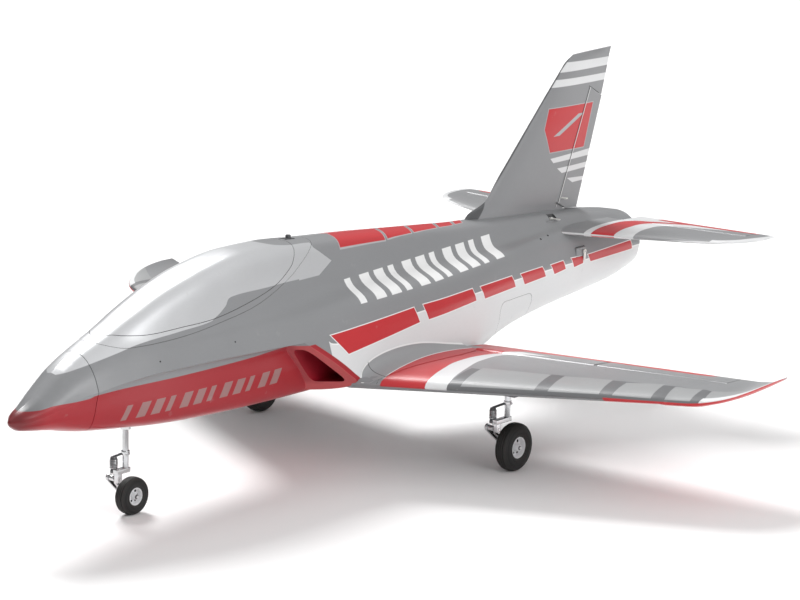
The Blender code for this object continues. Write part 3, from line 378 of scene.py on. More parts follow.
def surface_of(piece, degrees=32):
    """Triangles of a surface with their smooth corner normals, for borrow_normals and snap."""
    mesh = piece.data.copy()
    work = bmesh.new()
    work.from_mesh(mesh)
    bmesh.ops.triangulate(work, faces=work.faces)
    work.to_mesh(mesh)
    work.free()
    mesh.polygons.foreach_set("use_smooth", [True] * len(mesh.polygons))
    mesh.set_sharp_from_angle(angle=math.radians(degrees))
    corners = [normal.vector.copy() for normal in mesh.corner_normals]
    places = [v.co.copy() for v in mesh.vertices]
    faces = [tuple(p.vertices) for p in mesh.polygons]
    normals = [[corners[i] for i in p.loop_indices] for p in mesh.polygons]
    tree = BVHTree.FromPolygons(places, faces)
    bpy.data.meshes.remove(mesh)
    return tree, places, faces, normals


def borrow_normals(piece, surfaces):
    """Shades a cut shell like the uncut surfaces it came from, so that the cuts don't dent the light."""
    tidy_mesh(piece)
    mesh = piece.data
    mesh.polygons.foreach_set("use_smooth", [True] * len(mesh.polygons))
    wanted = []
    for poly in mesh.polygons:
        for index in poly.vertices:
            spot = mesh.vertices[index].co.lerp(poly.center, 0.03)
            best, score = poly.normal.copy(), 0.93
            for tree, places, faces, normals in surfaces:
                _, _, face, _ = tree.find_nearest(spot, 0.0005)
                if face is None:
                    continue
                weights = poly_3d_calc([places[i] for i in faces[face]], spot)
                smooth_normal = sum((n * w for n, w in zip(normals[face], weights)), Vector()).normalized()
                match = smooth_normal.dot(poly.normal)
                if abs(match) > score:
                    best, score = (smooth_normal if match > 0 else -smooth_normal), abs(match)
            wanted.append(best)
    mesh.normals_split_custom_set(wanted)
    return piece


def snap(surface, points, steps=8):
    """A smooth path through points, laid on a surface."""
    path = []
    for spot in curve_through([tuple(p) for p in points], steps):
        place, _, _, _ = surface[0].find_nearest(Vector(spot))
        path.append(place)
    return path


def mirrored(source, name):
    """Starboard copy of a port piece, with its own shading normals mirrored too."""
    made = copy_of(source, name)
    mesh = made.data
    normals = None
    if mesh.has_custom_normals:
        normals = [n.vector.copy() for n in mesh.corner_normals]
    mesh.transform(Matrix.Diagonal((-1, 1, 1, 1)))
    work = bmesh.new()
    work.from_mesh(mesh)
    bmesh.ops.reverse_faces(work, faces=work.faces)
    work.to_mesh(mesh)
    work.free()
    if normals:
        flipped = [None] * len(normals)
        for poly in mesh.polygons:
            loops = list(poly.loop_indices)
            # reversing a face keeps its first corner and turns the others round
            source_loops = [loops[0]] + loops[:0:-1]
            for here, there in zip(loops, source_loops):
                flipped[here] = Matrix.Diagonal((-1, 1, 1)) @ normals[there]
        mesh.normals_split_custom_set(flipped)
    return made


# ---------------------------------------------------------------- curves
def smooth(points, at):
    """Monotone cubic through (x, value) points."""
    if at <= points[0][0]:
        return points[0][1]
    if at >= points[-1][0]:
        return points[-1][1]
    slopes = [(b[1] - a[1]) / (b[0] - a[0]) for a, b in zip(points, points[1:])]
    k = max(i for i in range(len(points) - 1) if points[i][0] <= at)

    def tangent(i):
        if i == 0 or i == len(points) - 1:
            return slopes[0] if i == 0 else slopes[-1]
        before, after = slopes[i - 1], slopes[i]
        return 0.0 if before * after <= 0 else 2 * before * after / (before + after)

    width = points[k + 1][0] - points[k][0]
    t = (at - points[k][0]) / width
    start, end = points[k][1], points[k + 1][1]
    return ((2 * t**3 - 3 * t**2 + 1) * start + (t**3 - 2 * t**2 + t) * width * tangent(k)
            + (3 * t**2 - 2 * t**3) * end + (t**3 - t**2) * width * tangent(k + 1))


def curve_through(points, steps):
    """Catmull-Rom curve through points, with the given number of steps in each span."""
    extended = [points[0]] + list(points) + [points[-1]]
    out = []
    for a, b, c, d in zip(extended, extended[1:], extended[2:], extended[3:]):
        for step in range(steps):
            t = step / steps
            out.append(tuple(0.5 * (2 * q + (r - p) * t + (2 * p - 5 * q + 4 * r - s) * t * t
                                    + (3 * q - p - 3 * r + s) * t**3)
                             for p, q, r, s in zip(a, b, c, d)))
    out.append(tuple(points[-1]))
    return out


def section_ring(lead, trail, thickness, normal, edge=0.0004, steps=18):
    """Symmetric aerofoil section from leading to trailing edge."""
    lead, trail, normal = Vector(lead), Vector(trail), Vector(normal).normalized()
    over, under = [], []
    for k in range(steps + 1):
        c = 0.5 - 0.5 * math.cos(math.pi * (k / steps) ** 0.92)
        half = 5 * (0.2969 * math.sqrt(c) - 0.1260 * c - 0.3516 * c**2 + 0.2843 * c**3 - 0.1015 * c**4)
        point = lead.lerp(trail, c)
        rise = max(half * thickness, edge * c) if c > 0 else 0.0
        over.append(point + normal * rise)
        under.append(point - normal * rise)
    return over + list(reversed(under[1:]))


# ---------------------------------------------------------------- fuselage shells
def section_keys(sections, y):
    keys = []
    for column in range(1, SECTION_POINTS + 1):
        xs = [(row[0], row[column][0]) for row in sections]
        zs = [(row[0], row[column][1]) for row in sections]
        keys.append((smooth(xs, y), smooth(zs, y)))
    return keys


def upper_keys(y):
    """Top centre line to the chine, from one table, so that both skins share it."""
    rows = [row for row in FRONT_SECTIONS if row[0] < -0.15] + [row for row in REAR_SECTIONS
                                                                if row[0] > -0.15]
    return section_keys(rows, y)[:CHINE]


def body_ring(lower_sections, y, steps=6, grow=0.0, sink=0.0):
    """Full section at y: shared upper half, and the lower half of the given table."""
    keys = upper_keys(y) + section_keys(lower_sections, y)[CHINE:]
    upper = curve_through(keys[:CHINE], steps)
    lower = curve_through(keys[CHINE - 1:], steps)
    half = upper + lower[1:]
    middle = 0.5 * (keys[0][1] + keys[-1][1])
    if grow:
        reach = max(x for x, _ in half)
        tall = keys[0][1] - middle
        half = [(x * (1 + grow / reach), middle + (z - middle) * (1 + grow / tall)) for x, z in half]
    if sink:
        reach, tall, chine = max(x for x, _ in half), keys[0][1] - middle, keys[CHINE - 1][1]
        shift = [sink * (0.10 + 0.90 * min(1.0, max(0.0, (z - chine) / 0.025))) for _, z in half]
        half = [(x * (1 - d / reach), middle + (z - middle) * (1 - d / tall)) for (x, z),
                d in zip(half, shift)]
    port = [Vector((x, y, z)) for x, z in half]
    starboard = [Vector((-x, y, z)) for x, z in reversed(half[1:-1])]
    return port + starboard


def stations(start, end, pitch):
    count = max(2, round((end - start) / pitch))
    return [start + (end - start) * k / count for k in range(count + 1)]


def front_skin(name, start, end, grow=0.0, paint=None, pitch=0.0065):
    rings = []
    for y in stations(start, end, pitch):
        rings.append(body_ring(FRONT_SECTIONS, y, 6, grow - 1.2 * max(0.0, y - BLEND_Y) ** 2))
    return loft(name, rings, paint)


def rear_skin(name, grow=0.0, paint=None, pitch=0.008):
    rows = stations(DUCT_MOUTH_Y, BLEND_Y, pitch) + stations(BLEND_Y, TAIL_Y, pitch)[1:]
    rings = []
    for y in rows:
        rings.append(body_ring(REAR_SECTIONS, y, 6, grow, 0.9 * max(0.0, BLEND_Y - y) ** 2))
    return loft(name, rings, paint)


LIP_TOP = Vector((0.080, -0.1850, 0.1835))
LIP_OUTER = Vector((0.100, -0.1130, 0.1270))
LIP_INNER = Vector((0.050, -0.1570, 0.1260))


def lip_normal():
    """Points forwards out of the raked intake."""
    normal = (LIP_OUTER - LIP_INNER).cross(LIP_TOP - LIP_INNER).normalized()
    return -normal if normal.y > 0 else normal


def lip_tool(side, paint):
    normal = lip_normal()
    along = (LIP_OUTER - LIP_INNER).normalized()
    across = normal.cross(along)
    rings = []
    for depth in (0.0, 0.30):
        centre = LIP_INNER + normal * depth
        ring = []
        for u, v in ((-0.25, -0.25), (0.25, -0.25), (0.25, 0.25), (-0.25, 0.25)):
            spot = centre + along * u + across * v
            ring.append(Vector((side * spot.x, spot.y, spot.z)))
        rings.append(ring)
    tool = loft("lip_tool", rings, paint)
    half = box("half", (0.0 if side > 0 else -0.3, -0.30, 0.0), (0.3 if side > 0 else 0.0, 0.02, 0.40),
               paint)
    return keep_common(half, tool)


def rear_body(name, paints, grow=0.0):
    body = rear_skin(name, grow, paints["airframe"])
    for side in (1, -1):
        cut(body, lip_tool(side, paints["airframe"]))
    return body


def duct_tool(side, paint):
    """Air path from one intake mouth to the fan: almost square at the mouth, round at the fan."""
    path = [(DUCT_MOUTH_Y, 0.0745, 0.1530, 0.0106, 0.0240), (-0.1650, 0.0722, 0.1530, 0.0129, 0.0245),
            (-0.1300, 0.0708, 0.1528, 0.0143, 0.0243),
            (-0.0800, 0.0712, 0.1522, 0.0150, 0.0222),
            (-0.0100, 0.0680, 0.1560, 0.0190, 0.0230), (0.0700, 0.0530, 0.1660, 0.0230, 0.0270),
            (0.1400, 0.0300, 0.1780, 0.0280, 0.0320), (0.2050, 0.0060, THRUST_Z, 0.0340, 0.0380)]
    rings = []
    for y in stations(DUCT_MOUTH_Y, 0.2050, 0.013):
        cx, cz, half_w, half_h = (smooth([(row[0], row[i]) for row in path], y) for i in (1, 2, 3, 4))
        fade = min(1.0, max(0.0, (y + 0.14) / 0.22))
        power = 0.36 + 0.44 * fade
        lean = -0.36 * (1 - fade)
        ring = []
        for k in range(48):
            turn = 2 * math.pi * k / 48
            px = math.copysign(abs(math.cos(turn)) ** power, math.cos(turn))
            pz = math.copysign(abs(math.sin(turn)) ** power, math.sin(turn))
            shift = lean * half_h * pz if px > 0 else 0.0
            ring.append(Vector((side * (cx + half_w * px + shift), y, cz + half_h * pz)))
        rings.append(ring)
    return loft("duct_tool", rings, paint)


def hatch_profile(paint, shift=0.0):
    """Side view of the space above the hatch seam, as a prism across the model."""
    edge = [(y, z + shift) for y, z in curve_through(HATCH_EDGE, 6)]
    outline = [(edge[0][0] - 0.03, edge[0][1] + 0.010)] + edge + [(edge[-1][0] + 0.030, 0.345),
                                                                  (-0.56, 0.345)]
    return loft("hatch_tool", [[Vector((x, y, z)) for y, z in outline] for x in (-0.12, 0.12)], paint)


def belly_cover_tool(inset, paint):
    """Space of the cover under the fan, with rounded corners in side view."""
    low_y, high_y, top = 0.226 + inset, 0.316 - inset, 0.1740 - inset
    corner = 0.012
    outline = [(low_y, 0.05), (high_y, 0.05)]
    for centre_y, begin in ((high_y - corner, 0.0), (low_y + corner, 0.5 * math.pi)):
        for k in range(7):
            turn = begin + 0.5 * math.pi * k / 6
            outline.append((centre_y + corner * math.cos(turn), top - corner + corner * math.sin(turn)))
    return loft("belly_tool", [[Vector((x, y, z)) for y, z in outline] for x in (-0.09, 0.09)], paint)


def exhaust_cone(name, start_radius, end_radius, extra, paint=None, sides=64):
    start, end = Vector((0, FAN_Y + 0.0400, THRUST_Z)), Vector((0, 0.6072, NOZZLE_Z))
    reach = (end - start) * extra
    return rod(name, start - reach, end + reach, start_radius, paint, sides, end_radius)


def fan_bay(paint, start=0.196, end=0.330):
    return rod("fan_bay", (0, start, THRUST_Z), (0, end, THRUST_Z), 0.0462, paint, 64)


def panel_line(piece, surface, points, width, paint):
    """Thin moulded groove that follows the skin; a cut that fails is tried again a hair to one side."""
    path = snap(surface, points)
    whole = piece.data.copy()
    for attempt in range(4):
        shift = Vector((0.00003, 0.00005, 0.00004)) * attempt
        cut(piece, tube("groove", [spot + shift for spot in path], width, paint, 6 + attempt))
        if len(piece.data.polygons) > 0.8 * len(whole.polygons):
            return piece
        piece.data = whole.copy()
    return piece


def screw_dimple(piece, surface, spot, radius, depth, paint):
    place, normal, _, _ = surface[0].find_nearest(Vector(spot))
    return cut(piece, rod("dimple", place + normal * 0.004, place - normal * depth, radius, paint, 20))


def build_fuselage(paints):
    foam, airframe = paints["foam"], paints["airframe"]
    front = front_skin("fuselage_shell", NOSE_SEAM_Y + GAP, -0.0300, 0.0, airframe)
    rear = rear_body("rear_body", paints)
    surfaces = [surface_of(front), surface_of(rear)]
    body = join(front, rear)
    tools = [hatch_profile(foam)]
    half, start, end, floor = BATTERY_BAY
    tools.append(box("bay", (-half, start, floor), (half, end, 0.40), foam))
    tools.append(box("radio_bay", (-0.024, -0.150, 0.165), (0.024, 0.060, 0.222), foam))
    half, start, end, ceiling = GEAR_BAY
    tools.append(box("gear_bay", (-half, start, 0.02), (half, end, ceiling), foam))
    for side in (1, -1):
        duct = duct_tool(side, paints["duct"])
        surfaces.append(surface_of(duct))
        tools.append(duct)
    for tool in (fan_bay(foam), exhaust_cone("exhaust", 0.0450, 0.0398, 0.04, foam)):
        surfaces.append(surface_of(tool))
        tools.append(tool)
    tools.append(belly_cover_tool(0.0, foam))
    for y, z, radius, reach in ((*WING_SPAR, 0.2), (*STAB_SPAR, 0.1)):
        tools.append(rod("bore", (-reach, y, z), (reach, y, z), radius, foam, 20))
    for side in (1, -1):
        place = (side * (MAIN_X - FOLD_SHIFT), MAIN_AXLE.y)
        tools.append(rod("well", (*place, 0.05), (*place, WELL_CEILING), WELL_RADIUS, foam, 48))
        spot = Vector((side * ELEVATOR_SERVO.x, ELEVATOR_SERVO.y, ELEVATOR_SERVO.z))
        tools.append(servo_bay(spot, 0.0070, foam))
    tools.append(servo_bay(RUDDER_SERVO, 0.0060, foam, 0.0060))
    lever = RUDDER_SERVO + Vector((0, 0.0060, 0.0060))
    tools.append(box("lever_slot", lever + Vector((-0.0040, -0.0085, -0.0010)),
                     lever + Vector((0.0170, 0.0085, 0.03)), foam))
    cut(body, *tools)
    panel_lines_on_body(body, surfaces, paints)
    borrow_normals(body, surfaces)
    place_piece(body, "airframe", ["fuselage"])
    return surfaces


def servo_bay(spot, high, paint, low=0.0070):
    return box("servo_bay", spot + Vector((-0.0064, -0.0124, -low)),
               spot + Vector((0.0064, 0.0124, high)), paint)


def panel_lines_on_body(body, surfaces, paints):
    dark = paints["groove"]
    front, rear = surfaces[0], surfaces[1]
    for side in (1, -1):
        for spot in ((side * 0.070, -0.300, 0.2080), (side * 0.060, -0.420, 0.2020)):
            screw_dimple(body, front, spot, 0.0011, 0.0010, dark)
        for spot in ((side * 0.050, 0.352, 0.2480), (side * 0.050, 0.372, 0.2560)):
            screw_dimple(body, rear, spot, 0.0016, 0.0016, dark)


def build_nose(paints):
    rings = [body_ring(FRONT_SECTIONS, y) for y in stations(NOSE_Y, NOSE_SEAM_Y - GAP, 0.0040)]
    middle = Vector((0, 0, 0.1500))
    tip = []
    for size, reach in ((0.25, 0.0021), (0.55, 0.0017), (0.82, 0.0010)):
        tip.append([Vector((v.x * size, NOSE_Y - reach, middle.z + (v.z - middle.z) * size))
                    for v in rings[0]])
    cone = loft("nose_cap", tip + rings, paints["airframe"])
    surfaces = [surface_of(cone)]
    cut(cone, rod("hollow", (0, -0.560, 0.155), (0, -0.500, 0.165), 0.012, paints["foam"], 32, 0.026))
    borrow_normals(cone, surfaces)
    place_piece(cone, "airframe", ["nose_cone"])
    return surfaces[0]


def build_canopy(paints):
    hatch = front_skin("canopy_shell", NOSE_SEAM_Y + GAP, -0.0300, 0.0, paints["airframe"])
    surfaces = [surface_of(hatch)]
    keep_common(hatch, hatch_profile(paints["foam"], GAP))
    hollow = front_skin("hollow", -0.4550, -0.1450, -0.0065, paints["foam"])
    cut(hollow, box("floor", (-0.2, -0.6, 0.0), (0.2, 0.1, 0.2), paints["foam"]))
    cut(hatch, hollow)
    cut(hatch, box("latch_slot", (-0.0060, -0.1450, 0.2950), (0.0060, -0.1270, 0.33), paints["foam"]))
    outline = [(0.000, -0.4755, 0.233), (0.009, -0.4745, .2316), (.026, -.452, .2307),
               (.0356, -.4195, .2286),
               (.0418, -.3706, .2307), (.046, -.318, .2336), (.0468, -.261, .2437), (.0438, -.208, .257),
               (.038, -.175, .273), (.034, -.163, .284), (.022, -.155, .296), (.000, -.152, .302)]
    for side in (1, -1):
        panel_line(hatch, surfaces[0], [(side * x, y, z) for x, y, z in outline], 0.00042, paints["groove"])
    borrow_normals(hatch, surfaces)
    place_piece(hatch, "hatch", ["canopy_hatch"])


def build_belly(paints):
    cover = rear_body("belly_cover", paints)
    surfaces = [surface_of(cover)]
    keep_common(cover, belly_cover_tool(GAP, paints["foam"]))
    cut(cover, fan_bay(paints["foam"], 0.15, 0.40))
    borrow_normals(cover, surfaces)
    place_piece(cover, "airframe", ["belly_hatch"])


def place_piece(piece, body, nodes):
    """Makes a finished piece stand for CAD nodes and move with their body."""
    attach(piece, body)
    if nodes:
        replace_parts(piece, *nodes)
    return piece


# ---------------------------------------------------------------- wings and tail
def wing_lead(x):
    return -0.1142 + 0.494 * (x - 0.10)


def wing_trail(x):
    return 0.1730 + 0.130 * (x - 0.07)


def wing_height(x):
    return 0.1262 + 0.0205 * (x - 0.10)


def along_rows(rows, place):
    """Smooth in-between row of a table, at a fractional row number."""
    return [smooth([(k, row[i]) for k, row in enumerate(rows)], place) for i in range(len(rows[0]))]


def wing_solid(name, paint, inner_x=0.070):
    """Port wing with its raked, slightly upturned tip."""
    rings = []
    for x in [inner_x + (0.4400 - inner_x) * k / 24 for k in range(25)]:
        lead = (x, wing_lead(x), wing_height(x))
        trail = (x, wing_trail(x), wing_height(x) + 0.0004)
        rings.append(section_ring(lead, trail, 0.104 * (trail[1] - lead[1]), (0, 0, 1)))
    tip = [(x, wing_lead(x), wing_trail(x), wing_height(x) + 0.0002, 0.104 * (wing_trail(x) - wing_lead(x)))
           for x in (0.4400, 0.4775)]
    tip += [(0.4920, 0.0825, 0.2258, 0.1358, 0.0125), (0.5080, 0.1000, 0.2230, 0.1393, 0.0090),
            (0.5200, 0.1230, 0.2195, 0.1440, 0.0062), (0.5270, 0.1530, 0.2155, 0.1486, 0.0040),
            (0.5298, 0.1800, 0.2120, 0.1512, 0.0018)]
    for k in range(1, 37):
        x, lead_y, trail_y, height, thick = along_rows(tip, k / 6)
        rings.append(section_ring((x, lead_y, height - 0.0012), (x, trail_y, height), thick, (0, 0, 1)))
    return loft(name, rings, paint)


def hinge_frame(start, end, normal):
    start, end, normal = Vector(start), Vector(end), Vector(normal).normalized()
    along = (end - start).normalized()
    back = along.cross(normal).normalized()
    if back.y < 0:
        back = -back
    return start, end, along, back, along.cross(back).normalized()


def control_surface(name, start, end, radii, chords, normal, paint):
    """Round-nosed surface whose nose is centred on the hinge line from start to end."""
    start, end, _, back, up = hinge_frame(start, end, normal)
    rings = []
    for part in [k / 12 for k in range(13)]:
        centre = start.lerp(end, part)
        radius = radii[0] + (radii[1] - radii[0]) * part
        chord = chords[0] + (chords[1] - chords[0]) * part
        over, under = [], []
        for k in range(9):
            turn = 0.5 * math.pi * k / 8
            over.append(centre + up * radius * math.sin(turn) - back * radius * math.cos(turn))
            under.append(centre - up * radius * math.sin(turn) - back * radius * math.cos(turn))
        for k in range(1, 9):
            reach = k / 8
            half = radius * (1 - reach) * (1 + 0.10 * reach) + 0.0004 * reach
            over.append(centre + back * chord * reach + up * half)
            under.append(centre + back * chord * reach - up * half)
        rings.append(over + list(reversed(under[1:])))
    return bevelled(loft(name, rings, paint), 0.00025, 1, 60)


def hinge_cutters(start, end, radii, depth, normal, paint, reach=0.05, lower_open=False, step=0.0008):
    """Clears a control surface: a cone round its nose, and everything behind the hinge line."""
    start, end, along, back, up = hinge_frame(start, end, normal)
    first, last = start - along * step, end + along * step
    tools = [rod("nose_tool", first, last, radii[0] + 0.0006, paint, 56, radii[1] + 0.0006)]
    rings = []
    for centre in (first, last):
        front = centre - back * 0.0012
        rear = centre + back * depth
        rings.append([front + up * reach, rear + up * reach, rear - up * reach, front - up * reach])
    tools.append(loft("slot_tool", rings, paint))
    if lower_open:
        down = -up if up.z > 0 else up
        rings = []
        for centre, radius in ((first, radii[0]), (last, radii[1])):
            front = centre - back * (radius + 0.0006)
            rings.append([front + down * 0.001, centre + down * 0.001, centre + down * reach,
                          front + down * reach])
        tools.append(loft("slot_tool", rings, paint))
    return tools


def hinge_point(part):
    return HINGE_IN.lerp(HINGE_OUT, part)


def surface_radius(part):
    return 0.0088 + (0.0050 - 0.0088) * part


def plate_horn(name, spot, size, lean, paint, hole=0.0008):
    """Control horn: a thin tapered plate with holes and a little base."""
    wide, tall, thick = size
    outline = [(-0.2, 0.02), (1.0, 0.02), (0.85, -0.35), (0.42 + lean, -1.0), (0.05 + lean, -1.0),
               (-0.1, -0.4)]
    rings = [[spot + Vector((x, u * wide, v * tall)) for u, v in outline] for x in (-thick, thick)]
    horn = loft(name, rings, paint)
    for k in range(3):
        centre = spot + Vector((0, wide * (0.24 + lean), -tall * (0.62 + 0.14 * k)))
        cut(horn, rod("hole", centre - Vector((0.01, 0, 0)), centre + Vector((0.01, 0, 0)), hole, paint,
                      10))
    foot = box("foot", spot + Vector((-0.0036, -0.25 * wide, -0.0012)),
               spot + Vector((0.0036, 1.0 * wide, 0.0006)), paint)
    return merge(horn, bevelled(foot, 0.0003))


def build_wing(paints, body_surfaces):
    wing = wing_solid("wing_shell_left", paints["wing"])
    surfaces = [surface_of(wing)]
    foam = paints["foam"]
    moving = []
    for name, span, lever in (("flap", FLAP_SPAN, 0.92), ("aileron", AILERON_SPAN, 0.06)):
        start, end = hinge_point(span[0]), hinge_point(span[1])
        radii = (surface_radius(span[0]), surface_radius(span[1]))
        chords = tuple(wing_trail(p.x) - p.y for p in (start, end))
        piece = control_surface(name + "_shell_left", start, end, radii, chords, (0, 0, 1), paints["wing"])
        smooth_by_angle(piece, 30)
        root = start.lerp(end, lever) + Vector((0, 0.0020, -surface_radius(0.5) + 0.0016))
        horn = plate_horn("horn", root, (0.0085, 0.0150, 0.0008), 0.0, paints["light_plastic"])
        merge(piece, horn)
        cut(wing, *hinge_cutters(start, end, radii, 0.09, (0, 0, 1), paints["groove"],
                                 lower_open=(name == "flap")))
        place_piece(piece, name + "_left", [name + "_left"])
        moving.append(piece)
    y, z, radius = WING_SPAR
    cut(wing, rod("spar_bore", (0.0, y, z), (0.204, y, z), radius, foam, 20))
    fold_x = MAIN_X - FOLD_SHIFT
    cut(wing, box("inner_clear", (0.0, -0.3, 0.0), (0.0845, 0.3, 0.3), foam))
    cut(wing, rod("well", (fold_x, MAIN_AXLE.y, 0.05), (fold_x, MAIN_AXLE.y, WELL_CEILING), WELL_RADIUS,
                  foam, 48))
    cut(wing, box("leg_slot", (fold_x, 0.012, 0.05), (MAIN_X + 0.012, 0.078, WELL_CEILING), foam))
    cut(wing, box("retract_bay", (MAIN_X - 0.0154, 0.0276, 0.05), (MAIN_X + 0.0254, 0.0684, 0.1314), foam))
    for spot in (AILERON_SERVO, FLAP_SERVO):
        cut(wing, box("servo_bay", spot + Vector((-0.0064, -0.0124, -0.03)),
                      spot + Vector((0.0110, 0.0124, 0.0054)), foam))
    root = [(0.1225, wing_lead(0.1225) + 0.002, 0.1262), (0.1225, -0.086, 0.135), (0.1225, -0.05, 0.140),
            (0.1230, 0.0, 0.1415), (0.1230, 0.06, 0.1390), (0.1230, 0.105, 0.1350)]
    panel_line(wing, surfaces[0], root, 0.00028, paints["groove"])
    borrow_normals(wing, surfaces)
    place_piece(wing, "airframe", ["wing_left"])
    build_fillet(paints, body_surfaces[1], surfaces[0])
    return wing, moving


FILLET_SEAM = [(-0.1120, 0.1250), (-0.1060, 0.1340), (-0.0980, 0.1440), (-0.0850, 0.1505),
               (-0.0700, 0.1545),
               (-0.0450, 0.1580), (-0.0200, 0.1592), (0.0100, 0.1580), (0.0400, 0.1540), (0.0800, 0.1460),
               (0.1150, 0.1390), (0.1440, 0.1335), (0.1680, 0.1300)]
FILLET_OUT = [(-0.112, 0.1030), (-0.104, 0.1175), (-0.094, 0.1235), (-0.06, 0.1300), (0.0, 0.1330),
              (0.06, 0.1300), (0.115, 0.1160), (0.168, 0.0960)]


def ray_height(surface, x, y, down=True):
    spot = Vector((x, y, 0.40 if down else 0.02))
    place, _, _, _ = surface[0].ray_cast(spot, Vector((0, 0, -1 if down else 1)))
    return place


def ray_side(surface, y, z):
    place, _, _, _ = surface[0].ray_cast(Vector((0.40, y, z)), Vector((-1, 0, 0)))
    return place


def build_fillet(paints, body, wing):
    """Curved fairing between the top of the wing and the side of the body."""
    rings = []
    for k in range(49):
        y = -0.1105 + (0.1195 + 0.1105) * k / 48
        high = ray_side(body, y, smooth(FILLET_SEAM, y))
        low = ray_height(wing, smooth(FILLET_OUT, y), y)
        if high is None or low is None:
            continue
        corner = Vector((high.x + 0.0010, y, low.z + 0.0012))
        over, under = [], []
        for j in range(13):
            t = j / 12
            spot = high * (1 - t) ** 2 + corner * 2 * t * (1 - t) + low * t * t
            over.append(spot + Vector((0.0005, 0, 0.0005)))
            under.append(spot * 0.25 + (high * (1 - t) + low * t) * 0.75 + Vector((-0.004, 0, -0.004)))
        rings.append(over + list(reversed(under)))
    fillet = loft("wing_fillet_left", rings, paints["fillet"])
    smooth_by_angle(fillet, 40)
    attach(fillet, "airframe")
    return fillet


def build_tailplane(paints):
    rows = [(x, 0.4050 + 0.470 * (x - 0.040), 0.6010, 0.2427) for x in (0.020, 0.080, 0.160, 0.225)]
    rows = [(x, lead, trail, z, 0.072 * (trail - lead)) for x, lead, trail, z in rows]
    rows += [(0.2500, 0.5080, 0.6008, 0.2438, 0.0055), (0.2660, 0.5300, 0.6000, 0.2438, 0.0040),
             (0.2760, 0.5600, 0.5990, 0.2438, 0.0016)]
    rings = []
    for k in range(37):
        x, lead, trail, z, thick = along_rows(rows, k / 6)
        rings.append(section_ring((x, lead, z), (x, trail, z), thick, (0, 0, 1), steps=14))
    stab = loft("stab_shell_left", rings, paints["tail"])
    surfaces = [surface_of(stab)]
    radii = (0.0045, 0.0026)
    chords = (0.6010 - ELEVATOR_IN.y, 0.6010 - ELEVATOR_OUT.y)
    inner = ELEVATOR_IN - Vector((0.03, 0.004, 0))
    cut(stab, *hinge_cutters(inner, ELEVATOR_OUT, (0.0047, radii[1]), 0.08, (0, 0, 1), paints["groove"],
                             0.02))
    cut(stab, box("inner_clear", (0.0, 0.3, 0.1), (0.0300, 0.7, 0.4), paints["foam"]))
    y, z, radius = STAB_SPAR
    cut(stab, rod("stab_bore", (0.0, y, z), (0.150, y, z), radius, paints["foam"], 20))
    borrow_normals(stab, surfaces)
    place_piece(stab, "airframe", ["stab_left"])
    elevator = control_surface("elevator_shell_left", ELEVATOR_IN, ELEVATOR_OUT, radii, chords, (0, 0, 1),
                               paints["tail"])
    smooth_by_angle(elevator, 30)
    horn = plate_horn("horn", ELEVATOR_IN + Vector((0.010, 0.0042, -0.0026)), (0.0070, 0.0130, 0.0008),
                      -0.2,
                      paints["light_plastic"])
    merge(elevator, horn)
    place_piece(elevator, "elevator_left", ["elevator_left"])
    return stab, elevator


def build_fin(paints):
    outline = [(.2200, .2600, .5060, .2520, 0.0150), (.2391, .2834, .5040, .2640, 0.0150),
               (.2758, .2957, .5070, .2740, 0.0170), (.3123, .3313, .5190, .3130, 0.0175),
               (.4359, .4534, .5610, .4510, 0.0110), (.4613, .4770, .5700, .4830, 0.0085),
               (.4779, .4862, .5728, .4917, 0.0030)]
    rings = []
    for k in range(49):
        lead_y, lead_z, trail_y, trail_z, thick = along_rows(outline, k / 8)
        rings.append(section_ring((0, lead_y, lead_z), (0, trail_y, trail_z), thick, (1, 0, 0)))
    fin = loft("fin_shell", rings, paints["tail"])
    surfaces = [surface_of(fin)]
    radii, chords = (0.0062, 0.0042), (0.0545, 0.0375)
    low = RUDDER_LOW - Vector((0, 0.0005, 0.0011))
    cut(fin, *hinge_cutters(low, RUDDER_HIGH, radii, 0.09, (1, 0, 0), paints["groove"], 0.03))
    for side in (1, -1):
        seam = [(side * 0.01, 0.2960, 0.3190), (side * 0.01, 0.3040, 0.3100), (side * 0.01, 0.3120, 0.2960),
                (side * 0.01, 0.3160, 0.2760)]
        panel_line(fin, surfaces[0], seam, 0.00030, paints["groove"])
    borrow_normals(fin, surfaces)
    place_piece(fin, "airframe", ["fin"])
    rudder = control_surface("rudder_shell", RUDDER_LOW, RUDDER_HIGH, radii, chords, (1, 0, 0),
                             paints["tail"])
    clear = rear_body("clear_tool", paints, 0.0012)
    cut(rudder, clear)
    smooth_by_angle(rudder, 30)
    horn = box("horn", RUDDER_LOW + Vector((0.0020, 0.0060, 0.0060)),
               RUDDER_LOW + Vector((0.0150, 0.0110, 0.0078)),
               paints["light_plastic"])
    cut(horn, rod("hole", RUDDER_LOW + Vector((0.0128, 0.0085, 0)),
                  RUDDER_LOW + Vector((0.0128, 0.0085, 0.02)),
                  0.0008, paints["light_plastic"], 10))
    merge(rudder, bevelled(horn, 0.0004))
    place_piece(rudder, "rudder", ["rudder"])


def place_left(piece, body, node, slot):
    """Place a port piece and say which body and node its starboard twin takes; the slot is not used."""
    place_piece(piece, body, [node])
    return piece, body.replace("_left", "_right"), node.replace("_left", "_right"), slot


def twin(piece, name, body=None, node=None):
    """Starboard copy of a placed port piece."""
    made = mirrored(piece, name)
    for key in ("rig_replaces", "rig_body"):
        if key in made:
            del made[key]
    made.parent = None
    made.matrix_world = Matrix.Identity(4)
    return place_piece(made, body, [node] if node else [])


# ---------------------------------------------------------------- shader helpers
def rgb(red, green, blue):
    """Linear colour from the usual 0-255 values."""
    out = []
    for value in (red, green, blue):
        value /= 255
        out.append(value / 12.92 if value <= 0.04045 else ((value + 0.055) / 1.055) ** 2.4)
    return (*out, 1.0)


